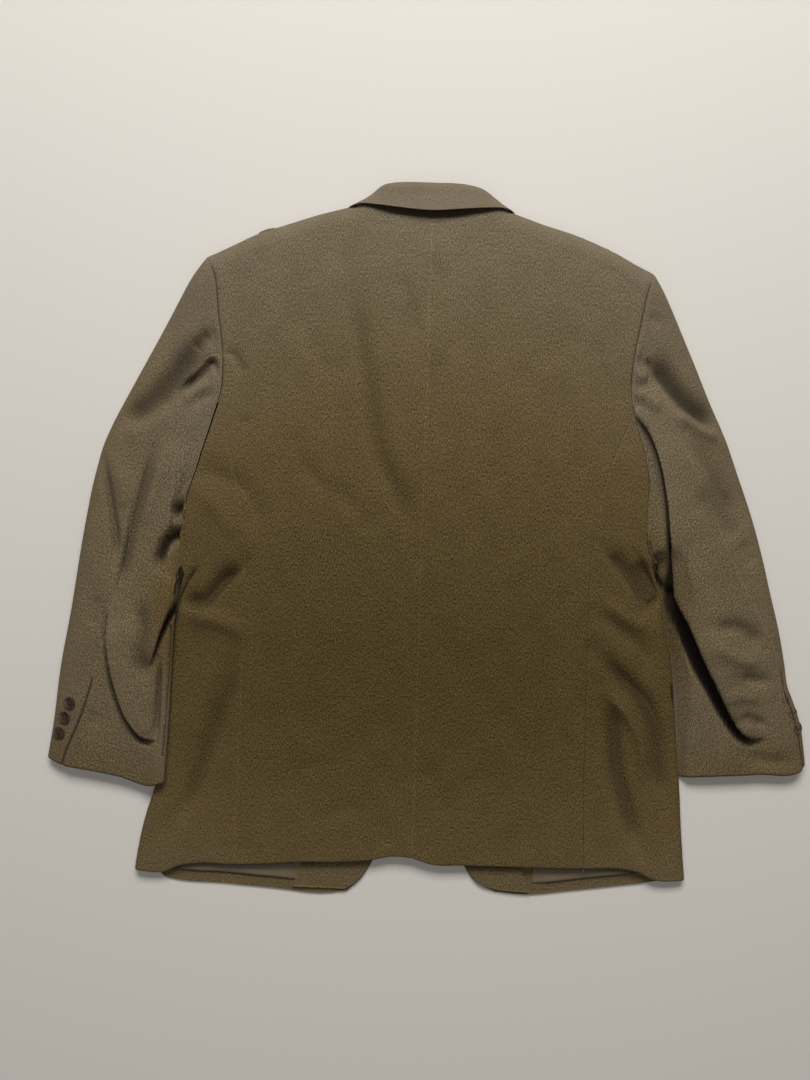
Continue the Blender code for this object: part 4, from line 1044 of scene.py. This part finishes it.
# ---------------------------------------------------------------- the buttons
# Dark horn buttons with a rim, a dished middle and four holes. Three stand in a row at each
# sleeve's vent, and two close the front underneath. They are sewn on with brown thread.
def horn(name, dark, light):
    """Polished horn with cloudy streaks."""
    finish = Finish(name, Roughness=0.28, Coat_Weight=0.3)
    places = finish.nodes.new("ShaderNodeTexCoord").outputs["Object"]
    clouds = finish.grain(places, (420, 150, 300), Detail=4.0, Distortion=0.8)
    return finish.coloured(finish.tones(clouds, (0.38, dark), (0.66, light)))


HORN = horn("dark horn", (0.016, 0.010, 0.007), (0.075, 0.045, 0.024))
THREAD = Finish("brown button thread", Base_Color=(0.05, 0.036, 0.02, 1), Roughness=0.8).made


def horn_button(name, radius, depth):
    """One button at the origin, modelled face up from a disc, with its holes cut."""
    made = started_from(bpy.ops.mesh.primitive_cylinder_add, vertices=48, radius=radius * 0.8,
                        depth=depth, location=(0, 0, depth / 2))
    made.name = name
    bpy.ops.object.mode_set(mode="EDIT")
    bpy.ops.mesh.select_mode(type="FACE")
    bpy.ops.mesh.select_all(action="DESELECT")
    bpy.ops.object.mode_set(mode="OBJECT")
    for face in made.data.polygons:
        face.select = face.normal.z > 0.9
    bpy.ops.object.mode_set(mode="EDIT")
    bpy.ops.transform.resize(value=(1.17, 1.17, 1.0))
    bpy.ops.mesh.inset(thickness=radius * 0.24)
    bpy.ops.transform.translate(value=(0, 0, -depth * 0.24))
    bpy.ops.mesh.inset(thickness=radius * 0.3)
    bpy.ops.transform.translate(value=(0, 0, -depth * 0.04))
    bpy.ops.object.mode_set(mode="OBJECT")
    bevel = made.modifiers.new("worn edges", "BEVEL")
    bevel.width = depth * 0.14
    bevel.segments = 3
    bevel.limit_method = "ANGLE"
    bpy.ops.object.modifier_apply(modifier=bevel.name)
    spread_by = radius * 0.21
    for x, y in ((1, 1), (1, -1), (-1, 1), (-1, -1)):
        drill = started_from(bpy.ops.mesh.primitive_cylinder_add, vertices=16,
                             radius=radius * 0.13, depth=depth * 4,
                             location=(x * spread_by, y * spread_by, 0))
        bpy.context.view_layer.objects.active = made
        hole = made.modifiers.new("thread hole", "BOOLEAN")
        hole.operation = "DIFFERENCE"
        hole.object = drill
        bpy.ops.object.modifier_apply(modifier=hole.name)
        bpy.data.objects.remove(drill, do_unlink=True)
    made.data.shade_smooth()
    made.data.materials.clear()
    made.data.materials.append(HORN)
    return made


def button_thread(name, radius, depth):
    """Two flat loops of thread, each through two holes of a button."""
    parts = []
    for y in (1, -1):
        loop = started_from(bpy.ops.mesh.primitive_torus_add, major_segments=24,
                            minor_segments=8, major_radius=radius * 0.21,
                            minor_radius=radius * 0.055,
                            location=(0, y * radius * 0.21, depth * 0.6),
                            rotation=(np.pi / 2, 0, 0))
        parts.append(loop)
        loop.scale = (1.0, 0.42, 1.0)
        bpy.ops.object.transform_apply(location=True, rotation=True, scale=True)
    bpy.ops.object.select_all(action="DESELECT")
    for part in parts:
        part.select_set(True)
    bpy.context.view_layer.objects.active = parts[0]
    bpy.ops.object.join()
    made = bpy.context.object
    made.name = name
    made.data.materials.clear()
    made.data.materials.append(THREAD)
    made.data.shade_smooth()
    return made


def copied(master, name, turn, place):
    mesh = master.data.copy()
    mesh.name = name
    mesh.transform(turn.to_matrix().to_4x4())
    for vertex in mesh.vertices:
        vertex.co += place
    made = new_object(name, mesh)
    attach(made, "root")
    return made


# Radius and depth in metres.
BUTTON_SIZES = dict(cuff=(0.0075, 0.0031), front=(0.010, 0.0031))
# The right cuff's buttons aren't turned any further than the solids' discs, but they lie 4 to
# 5 mm nearer to the body: their place is found along a way that leans, after this shift.
RIGHT_CUFF_LEAN, RIGHT_CUFF_SHIFT = [1.6, 0.0, 0.0], [0.0022, 0.0, 0.001]
masters = {}
for kind, size in BUTTON_SIZES.items():
    masters[kind] = (horn_button(f"{kind}_button_master", *size),
                     button_thread(f"{kind}_thread_master", *size))
for node in sorted(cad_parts):
    if "button" not in node:
        continue
    kind = "front" if node.startswith("front") else "cuff"
    co = np.array([v.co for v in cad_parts[node].data.vertices])
    middle = co.mean(axis=0)
    axis = np.linalg.svd(co - middle)[2][2]
    axis *= np.sign(axis[2]) * (-1 if kind == "front" else 1)
    turn = Vector(axis).to_track_quat("Z", "Y")
    if node.startswith("cuff_button_right"):
        axis = axis + RIGHT_CUFF_LEAN
        axis /= np.linalg.norm(axis)
        middle = middle - RIGHT_CUFF_SHIFT
    low = ((co - middle) @ axis).min()
    place = Vector(middle + axis * low)
    disc, bars = masters[kind]
    button = copied(disc, f"horn_{node}", turn, place)
    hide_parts(node)
    thread = copied(bars, f"thread_{node}", turn, place)
for pair in masters.values():
    for master in pair:
        bpy.data.objects.remove(master, do_unlink=True)


# ---------------------------------------------------------------- table, light and camera
# A plain pale table, one large soft light from beyond the collar, a weak one from above, and a
# little light from all round. The camera looks straight down from 1.2 m, turned by 1.8 degrees.
table = started_from(bpy.ops.mesh.primitive_plane_add, size=9.0, location=(0, 0, -0.0004))
table.name = "table"
bpy.ops.object.transform_apply(location=True, rotation=True, scale=True)
table.data.materials.append(Finish("pale matt table", Base_Color=(0.64, 0.615, 0.57, 1),
                                   Roughness=0.75).made)


def soft_light(name, place, aim, size, power, colour):
    lamp = bpy.data.lights.new(name, "AREA")
    lamp.shape = "RECTANGLE"
    lamp.size, lamp.size_y = size
    lamp.energy = power
    lamp.color = colour
    made = new_object(name, lamp)
    made.location = place
    made.rotation_euler = (Vector(aim) - Vector(place)).to_track_quat("-Z", "Y").to_euler()


soft_light("window beyond the collar", (0.0, 2.1, 1.95), (0, 0.1, 0), (1.9, 1.1), 87.0,
           (1.0, 0.98, 0.95))
soft_light("room light", (-0.2, -0.6, 2.6), (0, 0, 0), (2.5, 2.5), 13.0, (1.0, 0.97, 0.93))
world = bpy.data.worlds.new("room")
bpy.context.scene.world = world
world.use_nodes = True
world.node_tree.nodes["Background"].inputs["Color"].default_value = (0.95, 0.96, 1.0, 1)
world.node_tree.nodes["Background"].inputs["Strength"].default_value = 0.12

lens = bpy.data.cameras.new("camera")
lens.lens = 34.05
lens.sensor_width = 36.0
lens.clip_start, lens.clip_end = 0.05, 50.0
camera = new_object("camera", lens)
camera.location = (-0.03275, 0.00483, 1.2)
camera.rotation_euler = (0, 0, np.radians(1.8))
bpy.context.scene.camera = camera
bpy.context.scene.view_settings.view_transform = "Standard"
